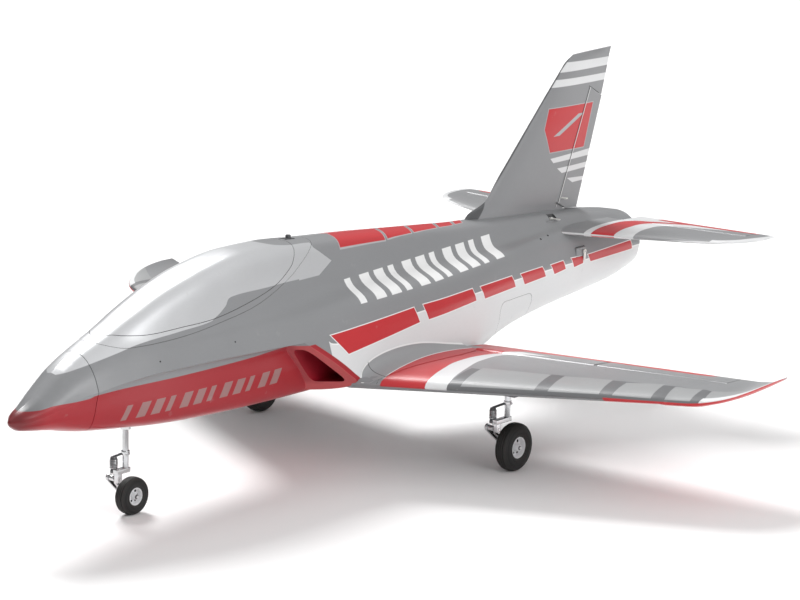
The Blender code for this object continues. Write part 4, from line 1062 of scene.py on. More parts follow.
GREY = rgb(134, 135, 137)
DARK_GREY = rgb(100, 101, 103)
SILVER = rgb(204, 205, 207)
LIGHT = rgb(214, 215, 216)
BAR_LIGHT = rgb(150, 151, 152)
WHITE = rgb(232, 232, 232)
RED = rgb(188, 34, 41)
# darker copy of the red for the lower flank under the chine: painted shade
SHADED_FLANK_RED = rgb(156, 22, 33)
DEEP_RED = rgb(140, 12, 30)


class Shader:
    """One node material: coordinates, sums, masks and the usual small irregularities."""

    def __init__(self, name):
        self.material = bpy.data.materials.new(name)
        self.material.use_nodes = True
        self.tree = self.material.node_tree
        self.surface = self.tree.nodes["Principled BSDF"]
        self.place = self.node("ShaderNodeTexCoord").outputs["Object"]
        split = self.node("ShaderNodeSeparateXYZ", self.place)
        self.x, self.y, self.z = split.outputs
        self.side = self.math("ABSOLUTE", self.x)

    def node(self, kind, *values):
        made = self.tree.nodes.new(kind)
        for socket, value in zip(made.inputs, values):
            self.feed(socket, value)
        return made

    def feed(self, socket, value):
        if isinstance(value, bpy.types.NodeSocket):
            self.tree.links.new(value, socket)
        elif value is not None:
            socket.default_value = value

    def math(self, operation, *values):
        made = self.tree.nodes.new("ShaderNodeMath")
        made.operation = operation
        for socket, value in zip(made.inputs, values):
            self.feed(socket, value)
        return made.outputs[0]

    def mix(self, low, high, mask):
        made = self.tree.nodes.new("ShaderNodeMix")
        made.data_type = "RGBA"
        self.feed(made.inputs[0], mask)
        self.feed(made.inputs[6], low)
        self.feed(made.inputs[7], high)
        return made.outputs[2]

    def curve(self, at, points):
        """Value of a smooth curve at a coordinate, from (coordinate, value) points."""
        low, high = points[0][0], points[-1][0]
        values = [value for _, value in points]
        base, span = min(values), (max(values) - min(values)) or 1.0
        part = self.math("DIVIDE", self.math("SUBTRACT", at, low), high - low)
        made = self.node("ShaderNodeFloatCurve")
        self.feed(made.inputs["Value"], part)
        line = made.mapping.curves[0]
        places = [((u - low) / (high - low), (v - base) / span) for u, v in points]
        line.points[0].location, line.points[1].location = places[0], places[-1]
        for place in places[1:-1]:
            line.points.new(*place)
        made.mapping.update()
        return self.math("MULTIPLY_ADD", made.outputs[0], span, base)

    def lowest(self, *values):
        result = values[0]
        for value in values[1:]:
            result = self.math("MINIMUM", result, value)
        return result

    def highest(self, *values):
        result = values[0]
        for value in values[1:]:
            result = self.math("MAXIMUM", result, value)
        return result

    def above(self, value, edge):
        return self.math("SUBTRACT", value, edge)

    def below(self, value, edge):
        return self.math("SUBTRACT", edge, value)

    def polygon(self, u, v, points):
        """Distance inside a convex outline, in metres; negative outside."""
        turn = sum(a[0] * b[1] - b[0] * a[1] for a, b in zip(points, points[1:] + points[:1]))
        sign = 1 if turn > 0 else -1
        edges = []
        for a, b in zip(points, points[1:] + points[:1]):
            length = math.hypot(b[0] - a[0], b[1] - a[1])
            nu, nv = -sign * (b[1] - a[1]) / length, sign * (b[0] - a[0]) / length
            part = self.math("MULTIPLY_ADD", v, nv, -(nu * a[0] + nv * a[1]))
            edges.append(self.math("MULTIPLY_ADD", u, nu, part))
        return self.lowest(*edges)

    def mask(self, distance, grow=0.0, soft=0.0005):
        made = self.tree.nodes.new("ShaderNodeMath")
        made.operation = "MULTIPLY_ADD"
        made.use_clamp = True
        self.feed(made.inputs[0], distance)
        made.inputs[1].default_value = 1 / soft
        made.inputs[2].default_value = 0.5 + grow / soft
        return made.outputs[0]

    def noise(self, scale, detail=3.0, stretch=(1, 1, 1)):
        scaled = self.node("ShaderNodeVectorMath")
        scaled.operation = "MULTIPLY"
        self.feed(scaled.inputs[0], self.place)
        scaled.inputs[1].default_value = stretch
        made = self.node("ShaderNodeTexNoise")
        self.feed(made.inputs["Vector"], scaled.outputs[0])
        made.inputs["Scale"].default_value = scale
        made.inputs["Detail"].default_value = detail
        return made.outputs["Fac"]

    def beads(self, scale):
        """Cell pattern of moulded foam under the paint."""
        made = self.node("ShaderNodeTexVoronoi")
        made.feature = "SMOOTH_F1"
        self.feed(made.inputs["Vector"], self.place)
        made.inputs["Scale"].default_value = scale
        return made.outputs["Distance"]

    def spread(self, value, low, high):
        """Noise value to a range."""
        return self.math("MULTIPLY_ADD", value, high - low, low)

    def edges(self):
        """Convex edges, where finish rubs off."""
        made = self.node("ShaderNodeNewGeometry")
        return self.mask(self.math("SUBTRACT", made.outputs["Pointiness"], 0.56), 0.0, 0.08)

    def shade(self, colour, amount):
        """Multiplies a colour by a grey value."""
        made = self.node("ShaderNodeVectorMath")
        made.operation = "SCALE"
        self.feed(made.inputs[0], tuple(colour)[:3] if isinstance(colour, (tuple, list)) else colour)
        self.feed(made.inputs["Scale"], amount)
        return made.outputs[0]

    def finish(self, colour, roughness, bumps, metallic=0.0, coat=0.0, coat_roughness=0.15):
        """Feeds the surface; bumps is a list of (height, strength, distance)."""
        self.feed(self.surface.inputs["Base Color"], colour)
        self.feed(self.surface.inputs["Roughness"], roughness)
        self.feed(self.surface.inputs["Metallic"], metallic)
        self.surface.inputs["Coat Weight"].default_value = coat
        self.surface.inputs["Coat Roughness"].default_value = coat_roughness
        normal = None
        for height, strength, distance in bumps:
            bump = self.node("ShaderNodeBump")
            bump.inputs["Strength"].default_value = strength
            bump.inputs["Distance"].default_value = distance
            self.feed(bump.inputs["Height"], height)
            if normal is not None:
                self.feed(bump.inputs["Normal"], normal)
            normal = bump.outputs[0]
        if normal is not None:
            self.feed(self.surface.inputs["Normal"], normal)
        return self.material


def painted_foam(shader, colour, metallic=0.0, base_roughness=0.36):
    """Sprayed paint on moulded foam: faint cloudiness, bead texture, dust and small scuffs."""
    cloud = shader.noise(9.0, 4.0)
    fine = shader.noise(420.0, 3.0, (1.0, 0.35, 1.0))
    scuff = shader.mask(shader.math("SUBTRACT", shader.noise(55.0, 6.0), 0.70), 0.0, 0.05)
    colour = shader.shade(colour, shader.spread(cloud, 0.955, 1.035))
    colour = shader.shade(colour, shader.spread(fine, 0.975, 1.02))
    colour = shader.mix(colour, rgb(176, 175, 172), shader.math("MULTIPLY", scuff, 0.10))
    roughness = shader.math("ADD", shader.spread(shader.noise(26.0, 4.0), base_roughness - 0.06,
                                                 base_roughness + 0.07),
                            shader.math("MULTIPLY", scuff, 0.18))
    bumps = [(shader.beads(330.0), 0.05, 0.0004), (fine, 0.10, 0.00025),
             (shader.noise(30.0, 2.0), 0.10, 0.0010)]
    return shader.finish(colour, roughness, bumps, metallic, 0.12, 0.20)


def slanted_bars(shader, u, v, start, end, low, high, count, fill, lean):
    """Row of plain slanted bars between two lines, as a generic side decoration."""
    bars = []
    pitch = ((end[0] - start[0]) / count, (end[1] - start[1]) / count)
    for k in range(count):
        u0, v0 = start[0] + pitch[0] * k, start[1] + pitch[1] * k
        du = pitch[0] * (fill if k % 3 else fill * 0.6)
        dv = pitch[1] * (fill if k % 3 else fill * 0.6)
        bars.append(shader.polygon(u, v, [(u0, v0 + low), (u0 + du, v0 + dv + low),
                                          (u0 + du + lean, v0 + dv + high), (u0 + lean, v0 + high)]))
    return shader.highest(*bars)


# ---------------------------------------------------------------- airframe paint scheme (metres)
CANOPY_LOW = [(-0.546, .1965), (-.5390, .1990), (-.5130, .2055), (-.4660, .2150), (-.4310, .2214),
              (-.3760, .2263),
              (-.3260, .2310), (-.3180, .2340), (-.2970, .2460), (-.2860, .2550), (-.2160, .2575),
              (-.1810, .2584), (-.1190, .2575)]
RED_TOP = [(-.6095, .1640), (-.5960, .1625), (-.5640, .1670), (-.5220, .1697), (-.5120, .1722),
           (-.4770, .1737),
           (-.4320, .1744), (-.3850, .1749), (-.2850, .1775), (-.1910, .1830), (-.1100, .1850)]
SIDE_DASHES = [[(-.145, .1905), (.0180, .2017), (.0250, .1820), (-.1210, .1645)],
               [(.0370, .2026), (.1520, .2056), (.1580, .1890), (.0440, .1826)],
               [(.1720, .2050), (.2560, .2060), (.2650, .1900), (.1810, .1876)],
               [(.2800, .2050), (.3380, .2060), (.3470, .1915), (.2900, .1890)],
               [(.3600, .2055), (.3930, .2067), (.4000, .1940), (.3700, .1910)],
               [(.4145, .2070), (.4456, .2060), (.4466, .1955), (.4230, .1930)],
               [(.4590, .2060), (.5790, .2100), (.5840, .1970), (.4670, .1950)]]
LOWER_LIGHT = [(-.1500, .1840), (-.1210, .1790), (-.0500, .1870), (.0250, .1950), (.1600, .1990),
               (.3500, .2000), (.6100, .2010)]
SPINE_DASHES = [(-.0670, .0290, .0300, .0262), (.0350, .0910, .0253, .0206), (.0970, .1530, .0200, .0148),
                (.1600, .1930, .0138, .0112), (.2000, .2180, .0100, .0080)]


def canopy_patch(shader):
    """Bright canopy area: over its lower edge, ahead of its arrow-shaped rear end."""
    edge = shader.curve(shader.y, CANOPY_LOW)
    front = shader.lowest(shader.above(shader.z, edge), shader.above(shader.y, -0.545),
                          shader.below(shader.y, -0.1190))
    arrow = shader.polygon(shader.y, shader.z, [(-.1195, .2574), (-.0890, .2720), (-.0970, .2800),
                                                (-.1276, .2975),
                                                (-.1600, .3200), (-.1600, .2570)])
    strip = shader.above(shader.z, shader.curve(shader.y,
                                                [(-.2200, .3140), (-.1885, .3030), (-.1640, .2998),
                                                           (-.1276, .2975), (-.1000, .2950)]))
    return shader.lowest(shader.highest(front, arrow), shader.math("MULTIPLY", strip, -1.0))


def airframe_paint():
    shader = Shader("airframe_paint")
    red_edge = shader.below(shader.z, shader.curve(shader.y, RED_TOP))
    lip = lip_normal()
    # distance behind the intake lip plane, positive towards the tail
    along = shader.math("MULTIPLY_ADD", shader.side, -lip.x, lip.dot(LIP_INNER))
    along = shader.math("MULTIPLY_ADD", shader.y, -lip.y, along)
    behind_lip = shader.math("MULTIPLY_ADD", shader.z, -lip.z, along)
    inner = shader.below(shader.side, 0.0605)
    ahead = shader.highest(shader.below(behind_lip, 0.0062),
                           shader.lowest(inner, shader.below(shader.y, -0.03)))
    red_side = shader.lowest(red_edge, ahead, shader.below(shader.y, -0.02))
    light_edge = shader.below(shader.z, shader.curve(shader.y, LOWER_LIGHT))
    light_side = shader.lowest(light_edge, shader.above(shader.y, -0.1500),
                               shader.above(behind_lip, 0.0062))
    outline = light_side
    dashes = shader.highest(*[shader.polygon(shader.y, shader.z, points) for points in SIDE_DASHES])
    dashes = shader.lowest(dashes, shader.above(shader.side, 0.028))
    spine = []
    for start, end, wide, narrow in SPINE_DASHES:
        spine.append(shader.polygon(shader.y, shader.side,
                                    [(start, wide), (end, narrow), (end + 0.012, -0.01),
                                                            (start + 0.012, -0.01)]))
    spine = shader.lowest(shader.highest(*spine), shader.above(shader.z, 0.2600))
    bars = slanted_bars(shader, shader.y, shader.z, (-0.078, .2195), (0.262, .2330), 0.0, 0.0265, 11,
                        0.66, 0.004)
    bars = shader.lowest(bars, shader.above(shader.side, 0.020))
    low_bars = slanted_bars(shader, shader.y, shader.z, (-0.470, .1330), (-0.205, .1370), 0.0, 0.0185, 12,
                            0.62, 0.007)
    low_bars = shader.lowest(low_bars, shader.above(shader.side, 0.015))
    colour = shader.mix(GREY, LIGHT, shader.mask(light_side))
    colour = shader.mix(colour, WHITE,
                        shader.mask(shader.lowest(outline, shader.below(light_edge, 0.0016))))
    # the lower flank under the chine takes the darker red: painted shade
    colour = shader.mix(colour, SHADED_FLANK_RED, shader.mask(red_side))
    colour = shader.mix(colour, shader.shade(colour, 0.45),
                        shader.mask(shader.below(shader.y, -0.588), 0.0, 0.030))
    colour = shader.mix(colour, rgb(150, 120, 118), shader.math("MULTIPLY", shader.mask(
        shader.lowest(low_bars, red_side)), 0.85))
    # the lip's cut face is painted a light pink red: painted highlight along the intake rim
    face = shader.lowest(red_side, shader.below(shader.math("ABSOLUTE", behind_lip), 0.0007),
                         shader.above(shader.side, 0.046))
    colour = shader.mix(colour, rgb(178, 72, 74), shader.mask(face, 0.0, 0.0004))
    # the inner part of the lip face is painted dark red so that it runs into the duct: painted shade
    lip_face_shade = shader.lowest(face, shader.below(shader.side, 0.0640), shader.above(shader.z, 0.1300))
    colour = shader.mix(colour, rgb(132, 14, 32), shader.mask(lip_face_shade, 0.0, 0.0120))
    colour = shader.mix(colour, WHITE, shader.mask(dashes, 0.0011))
    colour = shader.mix(colour, RED, shader.mask(dashes))
    colour = shader.mix(colour, rgb(176, 176, 178), shader.mask(spine, 0.0010))
    colour = shader.mix(colour, RED, shader.mask(spine))
    colour = shader.mix(colour, WHITE, shader.mask(bars))
    canopy = shader.mask(canopy_patch(shader))
    colour = shader.mix(colour, SILVER, canopy)
    metallic = shader.math("MULTIPLY", canopy, 0.55)
    return painted_foam(shader, colour, metallic, 0.31)


FILLET_RED = [(-.1300, .1275), (-.0900, .1272), (-.0500, .1235), (.0000, .1170), (.0600, .1110),
              (.1200, .1060), (.2000, .1000)]


def fillet_paint():
    """Grey fairing with a thin light outline along its seam on the body."""
    shader = Shader("fillet_paint")
    seam = shader.curve(shader.y, [(y, z - 0.0016) for y, z in FILLET_SEAM])
    cross = shader.lowest(shader.above(shader.y, -0.0890), shader.below(shader.y, -0.0880))
    red = shader.above(shader.side, shader.curve(shader.y, FILLET_RED))
    colour = shader.mix(rgb(148, 149, 151), LIGHT, shader.mask(red, 0.0016))
    colour = shader.mix(colour, RED, shader.mask(red))
    colour = shader.mix(colour, WHITE, shader.mask(shader.math("SUBTRACT", shader.z, seam)))
    colour = shader.mix(colour, rgb(60, 60, 62), shader.mask(cross, 0.0, 0.0004))
    return painted_foam(shader, colour, 0.0, 0.36)


WING_BARS = [[(.2185, -.0530), (.3010, -.0110), (.2860, .0470), (.2020, .0150)],
             [(.3165, -.0040), (.3734, .0250), (.3587, .0780), (.3025, .0530)],
             [(.3886, .0320), (.4320, .0520), (.4180, .1065), (.3790, .0780)],
             [(.4470, .0600), (.4750, .0740), (.4656, .1180), (.4350, .1040)],
             [(.4890, .0820), (.5400, .1250), (.5260, .1500), (.4790, .1180)]]


def swept_band(shader, inner, outer):
    """Between two curves of x against y that sweep round towards the trailing edge."""
    return shader.lowest(shader.above(shader.side, shader.curve(shader.y, inner)),
                         shader.below(shader.side, shader.curve(shader.y, outer)))


def wing_paint():
    shader = Shader("wing_paint")
    side, y = shader.side, shader.y
    middle = shader.math("MULTIPLY_ADD", side, 0.0205, 0.1262 - 0.00205)
    rise = shader.curve(side, [(.4600, 0.0), (.4775, .0002), (.4920, .0016), (.5080, .0047),
                               (.5200, .0092), (.5270, .0136),
                               (.5300, .0164)])
    over = shader.above(shader.z, shader.math("ADD", middle, rise))
    red_root = swept_band(shader, FILLET_RED,
                          [(-.0750, .1790), (-.0260, .1675), (.0310, .1535), (.0900, .1480),
                           (.120, .1520), (.2000, .1800)])
    light_band = swept_band(shader, [(-.0750, .1790), (-.0260, .1675), (.0310, .1535), (.0900, .1480),
                                     (.120, .1520),
                                     (.160, .1900)],
                            [(-.0630, .2040), (-.0085, .1900), (.0600, .1700), (.1130, .1640),
                             (.1270, .1780), (.1600, .2300)])
    light_band = shader.lowest(light_band, shader.below(y, 0.150))
    dark_bar = shader.polygon(side, y, [(.2040, -.0650), (.2185, -.0550), (.2040, .0070), (.1920, .0050)])
    bars = shader.highest(*[shader.polygon(side, y, points) for points in WING_BARS])
    gaps = shader.polygon(side, y, [(.2185, -.0650), (.5400, .1000), (.4700, .1200), (.2020, .0150)])
    trail = shader.above(y, shader.curve(side,
                                         [(.1000, .1480), (.1390, .1550), (.2580, .1840), (.3300, .1920),
                                                (.4200, .2050), (.4320, .2300), (.5300, .2400)]))
    edge = shader.curve(side, [(.470, .0700), (.4920, .0840), (.5080, .1020), (.5200, .1240),
                               (.5270, .1540), (.5298, .181)])
    tip = shader.lowest(shader.below(y, shader.math("ADD", edge, 0.0100)), shader.above(side, 0.4850))
    lower_tip = shader.lowest(shader.above(side, 0.380), shader.below(over, -0.0004))
    colour = shader.mix(GREY, DARK_GREY, shader.mask(shader.highest(gaps, dark_bar)))
    colour = shader.mix(colour, BAR_LIGHT, shader.mask(bars))
    colour = shader.mix(colour, LIGHT, shader.mask(light_band))
    colour = shader.mix(colour, RED, shader.mask(shader.highest(red_root, trail)))
    colour = shader.mix(colour, LIGHT, shader.mask(tip))
    under = shader.curve(side, [(.100, -.0070), (.300, -.0045), (.480, -.0012), (.530, -.0004)])
    colour = shader.mix(GREY, colour, shader.mask(shader.math("SUBTRACT", over, under), 0.0, 0.0008))
    colour = shader.mix(colour, RED, shader.mask(lower_tip, 0.0, 0.0008))
    return painted_foam(shader, colour, 0.0, 0.34)


FIN_LIGHT = [[(.4560, .4766), (.5700, .4770), (.5660, .4650), (.4430, .4630)],
             [(.4315, .4534), (.5650, .4540), (.5590, .4440), (.4210, .4430)],
             [(.4210, .3430), (.5280, .3465), (.5250, .3370), (.4290, .3360)],
             [(.4400, .3270), (.5230, .3275), (.5190, .3200), (.4530, .3190)],
             [(.4670, .3100), (.5180, .3070), (.5160, .3020), (.4830, .3020)]]
FIN_RED = [(.4160, .4140), (.5290, .4140), (.5100, .3510), (.4190, .3520), (.4050, .3860)]


def tail_paint():
    shader = Shader("tail_paint")
    side, y, z = shader.side, shader.y, shader.z
    flat = shader.mask(shader.below(z, 0.2600))
    lights = shader.highest(*[shader.polygon(y, z, points) for points in FIN_LIGHT])
    red = shader.polygon(y, z, FIN_RED)
    fin_colour = shader.mix(GREY, LIGHT, shader.mask(lights))
    lead_edge = shader.math("SUBTRACT", shader.curve(z,
                                                     [(.2957, .2770), (.3313, .3135), (.4534, .4371),
                                                      (.4770, .4625),
                                                         (.4862, .4790)]), y)
    fin_colour = shader.mix(fin_colour, rgb(74, 75, 77), shader.mask(lead_edge, 0.0, 0.0010))
    fin_colour = shader.mix(fin_colour, rgb(168, 168, 170), shader.mask(red, 0.0012))
    slash = shader.polygon(y, z, [(.4270, .3740), (.4420, .3740), (.5060, .4010), (.4910, .4010)])
    fin_colour = shader.mix(fin_colour, RED,
                            shader.mask(shader.lowest(red, shader.math("MULTIPLY", slash, -1.0))))
    hinge = shader.above(y, shader.math("MULTIPLY_ADD", z, 0.4503, 0.3227))
    # the light band along the rudder's round nose is a painted highlight; the dark band just ahead of it is
    # painted shadow in the hinge gap
    hinge_highlight = shader.lowest(shader.above(hinge, -0.0008), shader.below(hinge, 0.0012),
                          shader.below(z, 0.4370),
                          shader.above(z, 0.2700))
    fin_colour = shader.mix(fin_colour, WHITE, shader.math("MULTIPLY", shader.mask(hinge_highlight, 0.0, 0.0008),
                                                           0.7))
    shade_line = shader.lowest(shader.above(hinge, -0.0020), shader.below(hinge, -0.0006),
                               shader.below(z, 0.4370),
                               shader.above(z, 0.2700))
    fin_colour = shader.mix(fin_colour, rgb(48, 48, 50), shader.mask(shade_line, 0.0, 0.0006))
    band_a = swept_band(shader, [(.4200, .0700), (.4700, .0630), (.5300, .0560), (.5800, .0520)],
                        [(.4260, .0790), (.4760, .0720), (.5350, .0690), (.5600, .0900), (.6000, .1500)])
    band_red = swept_band(shader, [(.4260, .0790), (.4760, .0720), (.5350, .0690), (.5600, .0900),
                                   (.6000, .1500)],
                          [(.4440, .1080), (.4900, .1010), (.5350, .0980), (.5560, .1090), (.6000, .1900)])
    band_b = swept_band(shader, [(.4440, .1080), (.4900, .1010), (.5350, .0980), (.5560, .1090),
                                 (.6000, .1900)],
                        [(.4540, .1330), (.5000, .1250), (.5400, .1260), (.5620, .1600), (.6000, .2400)])
    trail = shader.lowest(shader.above(y, shader.curve(side,
                                                       [(.08, .5880), (.1100, .5850), (.2300, .5900),
                                                        (.2500, .6020)])),
                          shader.above(side, 0.0850))
    tip_edge = shader.curve(side, [(.200, .5000), (.2250, .5040), (.2500, .5200), (.2620, .5500),
                                   (.2680, .6100)])
    tip = shader.lowest(shader.below(y, tip_edge), shader.above(side, 0.2300))
    stab = shader.mix(GREY, LIGHT, shader.mask(shader.highest(band_a, band_b, tip)))
    stab = shader.mix(stab, RED, shader.mask(shader.highest(band_red, trail)))
    lead = shader.curve(side, [(.0300, .4003), (.0400, .4050), (.2250, .4920), (.2500, .5080),
                               (.2660, .5300), (.2760, .5600)])
    lead_line = shader.below(y, shader.math("ADD", lead, 0.0022))
    stab = shader.mix(stab, LIGHT, shader.mask(lead_line))
    colour = shader.mix(fin_colour, stab, flat)
    return painted_foam(shader, colour, 0.0, 0.36)


# ---------------------------------------------------------------- other finishes
def foam_inside():
    """Bare dark moulded foam in the bays."""
    shader = Shader("foam_inside")
    beads = shader.beads(260.0)
    colour = shader.shade(rgb(78, 79, 81), shader.spread(beads, 0.85, 1.10))
    colour = shader.mix(colour, rgb(120, 118, 114), shader.math("MULTIPLY", shader.noise(40.0, 4.0), 0.18))
    return shader.finish(colour, shader.spread(shader.noise(60.0), 0.68, 0.86), [(beads, 0.35, 0.0006)])


def duct_lining():
    shader = Shader("duct_lining")
    # darker red than the outside, fading to near black towards the fan: painted shade inside the duct
    fade = shader.mask(shader.above(shader.y, -0.02), 0.0, 0.12)
    colour = shader.mix(DEEP_RED, rgb(52, 10, 14), fade)
    colour = shader.shade(colour, shader.spread(shader.noise(30.0, 4.0), 0.86, 1.12))
    return shader.finish(colour, shader.spread(shader.noise(70.0), 0.38, 0.55),
                         [(shader.beads(330.0), 0.06, 0.0004)])


def groove_shadow():
    shader = Shader("groove_shadow")
    colour = shader.shade(rgb(58, 58, 60), shader.spread(shader.noise(90.0), 0.8, 1.2))
    return shader.finish(colour, shader.spread(shader.noise(50.0), 0.6, 0.8),
                         [(shader.noise(300.0), 0.1, 0.0002)])


def moulded_plastic(name, colour, worn, roughness=0.42, grain=700.0):
    shader = Shader(name)
    tint = shader.shade(colour, shader.spread(shader.noise(35.0, 4.0), 0.92, 1.08))
    tint = shader.mix(tint, worn, shader.math("MULTIPLY", shader.edges(), 0.45))
    rough = shader.spread(shader.noise(120.0, 4.0), roughness - 0.08, roughness + 0.10)
    return shader.finish(tint, rough, [(shader.noise(grain, 2.0), 0.12, 0.0002)])


def turned_metal(name, bright, dull, gloss):
    """Polished steel and aluminium with fine turning marks and patches of dark fingering."""
    shader = Shader(name)
    marks = shader.noise(900.0, 2.0, (1.0, 1.0, 6.0))
    stain = shader.noise(60.0, 5.0)
    colour = shader.mix(rgb(bright, bright + 1, bright + 4), rgb(dull, dull - 1, dull - 3),
                        shader.spread(stain, -0.2, 0.7))
    colour = shader.mix(colour, rgb(bright + 28, bright + 28, bright + 29),
                        shader.math("MULTIPLY", shader.edges(), 0.6))
    rough = shader.math("ADD", shader.spread(stain, gloss, gloss + 0.16), shader.spread(marks, 0.0, 0.08))
    return shader.finish(colour, rough, [(marks, 0.10, 0.0001)], 1.0)


def tyre_rubber():
    shader = Shader("tyre_rubber")
    dust = shader.noise(45.0, 5.0)
    colour = shader.mix(rgb(12, 12, 13), rgb(52, 50, 47), shader.math("MULTIPLY", dust, 0.22))
    colour = shader.mix(colour, rgb(88, 86, 82), shader.math("MULTIPLY", shader.edges(), 0.35))
    return shader.finish(colour, shader.spread(dust, 0.55, 0.80),
                         [(shader.noise(500.0, 3.0), 0.25, 0.0003)])


def carbon_weave():
    shader = Shader("carbon_tube")
    weave = shader.node("ShaderNodeTexChecker")
    shader.feed(weave.inputs["Vector"], shader.place)
    weave.inputs["Scale"].default_value = 500.0
    colour = shader.mix(rgb(24, 24, 26), rgb(52, 53, 56), weave.outputs["Fac"])
    return shader.finish(colour, shader.spread(weave.outputs["Fac"], 0.28, 0.42),
                         [(shader.noise(400.0), 0.1, 0.0002)])


def shrink_wrap():
    shader = Shader("blue_wrap")
    folds = shader.noise(70.0, 4.0, (1.0, 0.15, 1.0))
    colour = shader.shade(rgb(36, 74, 150), shader.spread(folds, 0.75, 1.2))
    return shader.finish(colour, shader.spread(folds, 0.22, 0.42), [(folds, 0.4, 0.0006)])


def hook_strap():
    shader = Shader("strap_weave")
    weave = shader.node("ShaderNodeTexChecker")
    shader.feed(weave.inputs["Vector"], shader.place)
    weave.inputs["Scale"].default_value = 1400.0
    colour = shader.mix(rgb(22, 22, 24), rgb(46, 46, 48), weave.outputs["Fac"])
    return shader.finish(colour, shader.spread(shader.noise(200.0), 0.75, 0.95),
                         [(weave.outputs["Fac"], 0.5, 0.0003)])


def make_paints():
    return {
        "airframe": airframe_paint(),
        "wing": wing_paint(),
        "fillet": fillet_paint(),
        "tail": tail_paint(),
        "foam": foam_inside(),
        "duct": duct_lining(),
        "groove": groove_shadow(),
        "dark_plastic": moulded_plastic("dark_plastic", rgb(44, 45, 48), rgb(110, 110, 112)),
        "light_plastic": moulded_plastic("light_plastic", rgb(222, 221, 216), rgb(244, 244, 242)),
        "servo_case": moulded_plastic("servo_case", rgb(52, 58, 72), rgb(120, 124, 132), 0.36),
        "rim": moulded_plastic("rim_plastic", rgb(222, 223, 225), rgb(240, 240, 240), 0.28),
        "metal": turned_metal("polished_metal", 206, 150, 0.10),
        "dark_metal": turned_metal("dark_metal", 92, 60, 0.22),
        "rubber": tyre_rubber(),
        "carbon": carbon_weave(),
        "wrap": shrink_wrap(),
        "strap": hook_strap(),
        "label": moulded_plastic("label_card", rgb(214, 208, 190), rgb(230, 226, 214), 0.55),
    }


# ---------------------------------------------------------------- landing gear
def cap_screw(name, spot, axis, radius, paint):
    """Socket-head screw whose head stands on spot and points along axis."""
    axis = Vector(axis).normalized()
    spot = Vector(spot)
    head = rod(name, spot, spot + axis * radius * 1.1, radius, paint, 20)
    socket = rod("socket", spot + axis * radius * 0.4, spot + axis * radius * 2, radius * 0.5, paint, 6)
    return bevelled(cut(head, socket), radius * 0.12, 1, 50)


def damper_and_strut(pivot, knee, shelf, paint, spring_paint, dark):
    """Lower end of a leg: clevis, damper barrel with its spring, and the upper eye."""
    centre, strut_y = knee.x, pivot.y
    plate = box("clevis", (centre - 0.0040, knee.y - 0.0050, shelf),
                (centre + 0.0040, strut_y + 0.0050, shelf + 0.0060), paint)
    lug = box("lug", (centre - 0.0032, knee.y - 0.0040, knee.z - 0.0040),
              (centre + 0.0032, knee.y + 0.0040, shelf + 0.002), paint)
    for part in (plate, lug):
        bevelled(part, 0.0009, 3)
    cut(lug, rod("eye", knee - Vector((0.01, 0, 0)), knee + Vector((0.01, 0, 0)), 0.0019, paint, 20))
    damper = Vector((centre - 0.0075, knee.y, 0))
    barrel_low, barrel_high = shelf, shelf + 0.020
    barrel = turned("barrel", [(0.0031, 0.0), (0.0042, 0.0), (0.0042, 0.0030), (0.0037, 0.0036),
                               (0.0037, 0.0050),
                               (0.0042, 0.0056), (0.0042, 0.0180), (0.0034, 0.0200), (0.0006, 0.0200),
                               (0.0006, 0.0125), (0.0031, 0.0125)],
                    Vector((damper.x, damper.y, barrel_low)), (0, 0, 1), dark, 32)
    eye = tube("upper_eye", [Vector((damper.x, damper.y, barrel_high - 0.003)),
                             Vector((damper.x, damper.y, barrel_high)),
                             Vector((centre - 0.004, 0.5 * (damper.y + strut_y), shelf + 0.0222)),
                             Vector((centre, strut_y, shelf + 0.0240))], 0.0016, dark, 14)
    ring = turned("collar", [(0.0040, -0.0026), (0.0051, -0.0026), (0.0054, -0.0018), (0.0054, 0.0018),
                             (0.0051, 0.0026), (0.0040, 0.0026)],
                  Vector((centre, strut_y, shelf + 0.0240)), (0, 0, 1), paint, 32)
    spring = coil("spring", (damper.x, damper.y, shelf + 0.0055), (damper.x, damper.y, shelf + 0.0165),
                  0.0046, 0.0005, 6,
                  spring_paint)
    screw = cap_screw("screw", (centre + 0.0054, strut_y, shelf + 0.0240), (1, 0, 0), 0.0014, spring_paint)
    return [plate, lug, barrel, eye, ring, spring, screw]


def strut(start, end, radius, paint):
    """Polished round strut with a shoulder at each end."""
    length = (Vector(end) - Vector(start)).length
    profile = [(0.0004, 0.0), (radius * 1.0, 0.0), (radius * 1.0, length * 0.06),
               (radius * 0.93, length * 0.075),
               (radius * 0.93, length * 0.86), (radius * 1.06, length * 0.875),
               (radius * 1.06, length - 0.0006),
               (radius * 0.94, length), (0.0004, length)]
    return turned("strut", profile, start, Vector(end) - Vector(start), paint, 40)


def link_outline(length, near_radius, far_radius):
    """Outline of a flat link with a round end about each of its two pivots."""
    outline = []
    for centre, radius, begin in ((0.0, near_radius, 0.5 * math.pi), (length, far_radius, -0.5 * math.pi)):
        for k in range(9):
            turn = begin + math.pi * k / 8
            outline.append((centre + radius * math.cos(turn), radius * math.sin(turn)))
    return outline


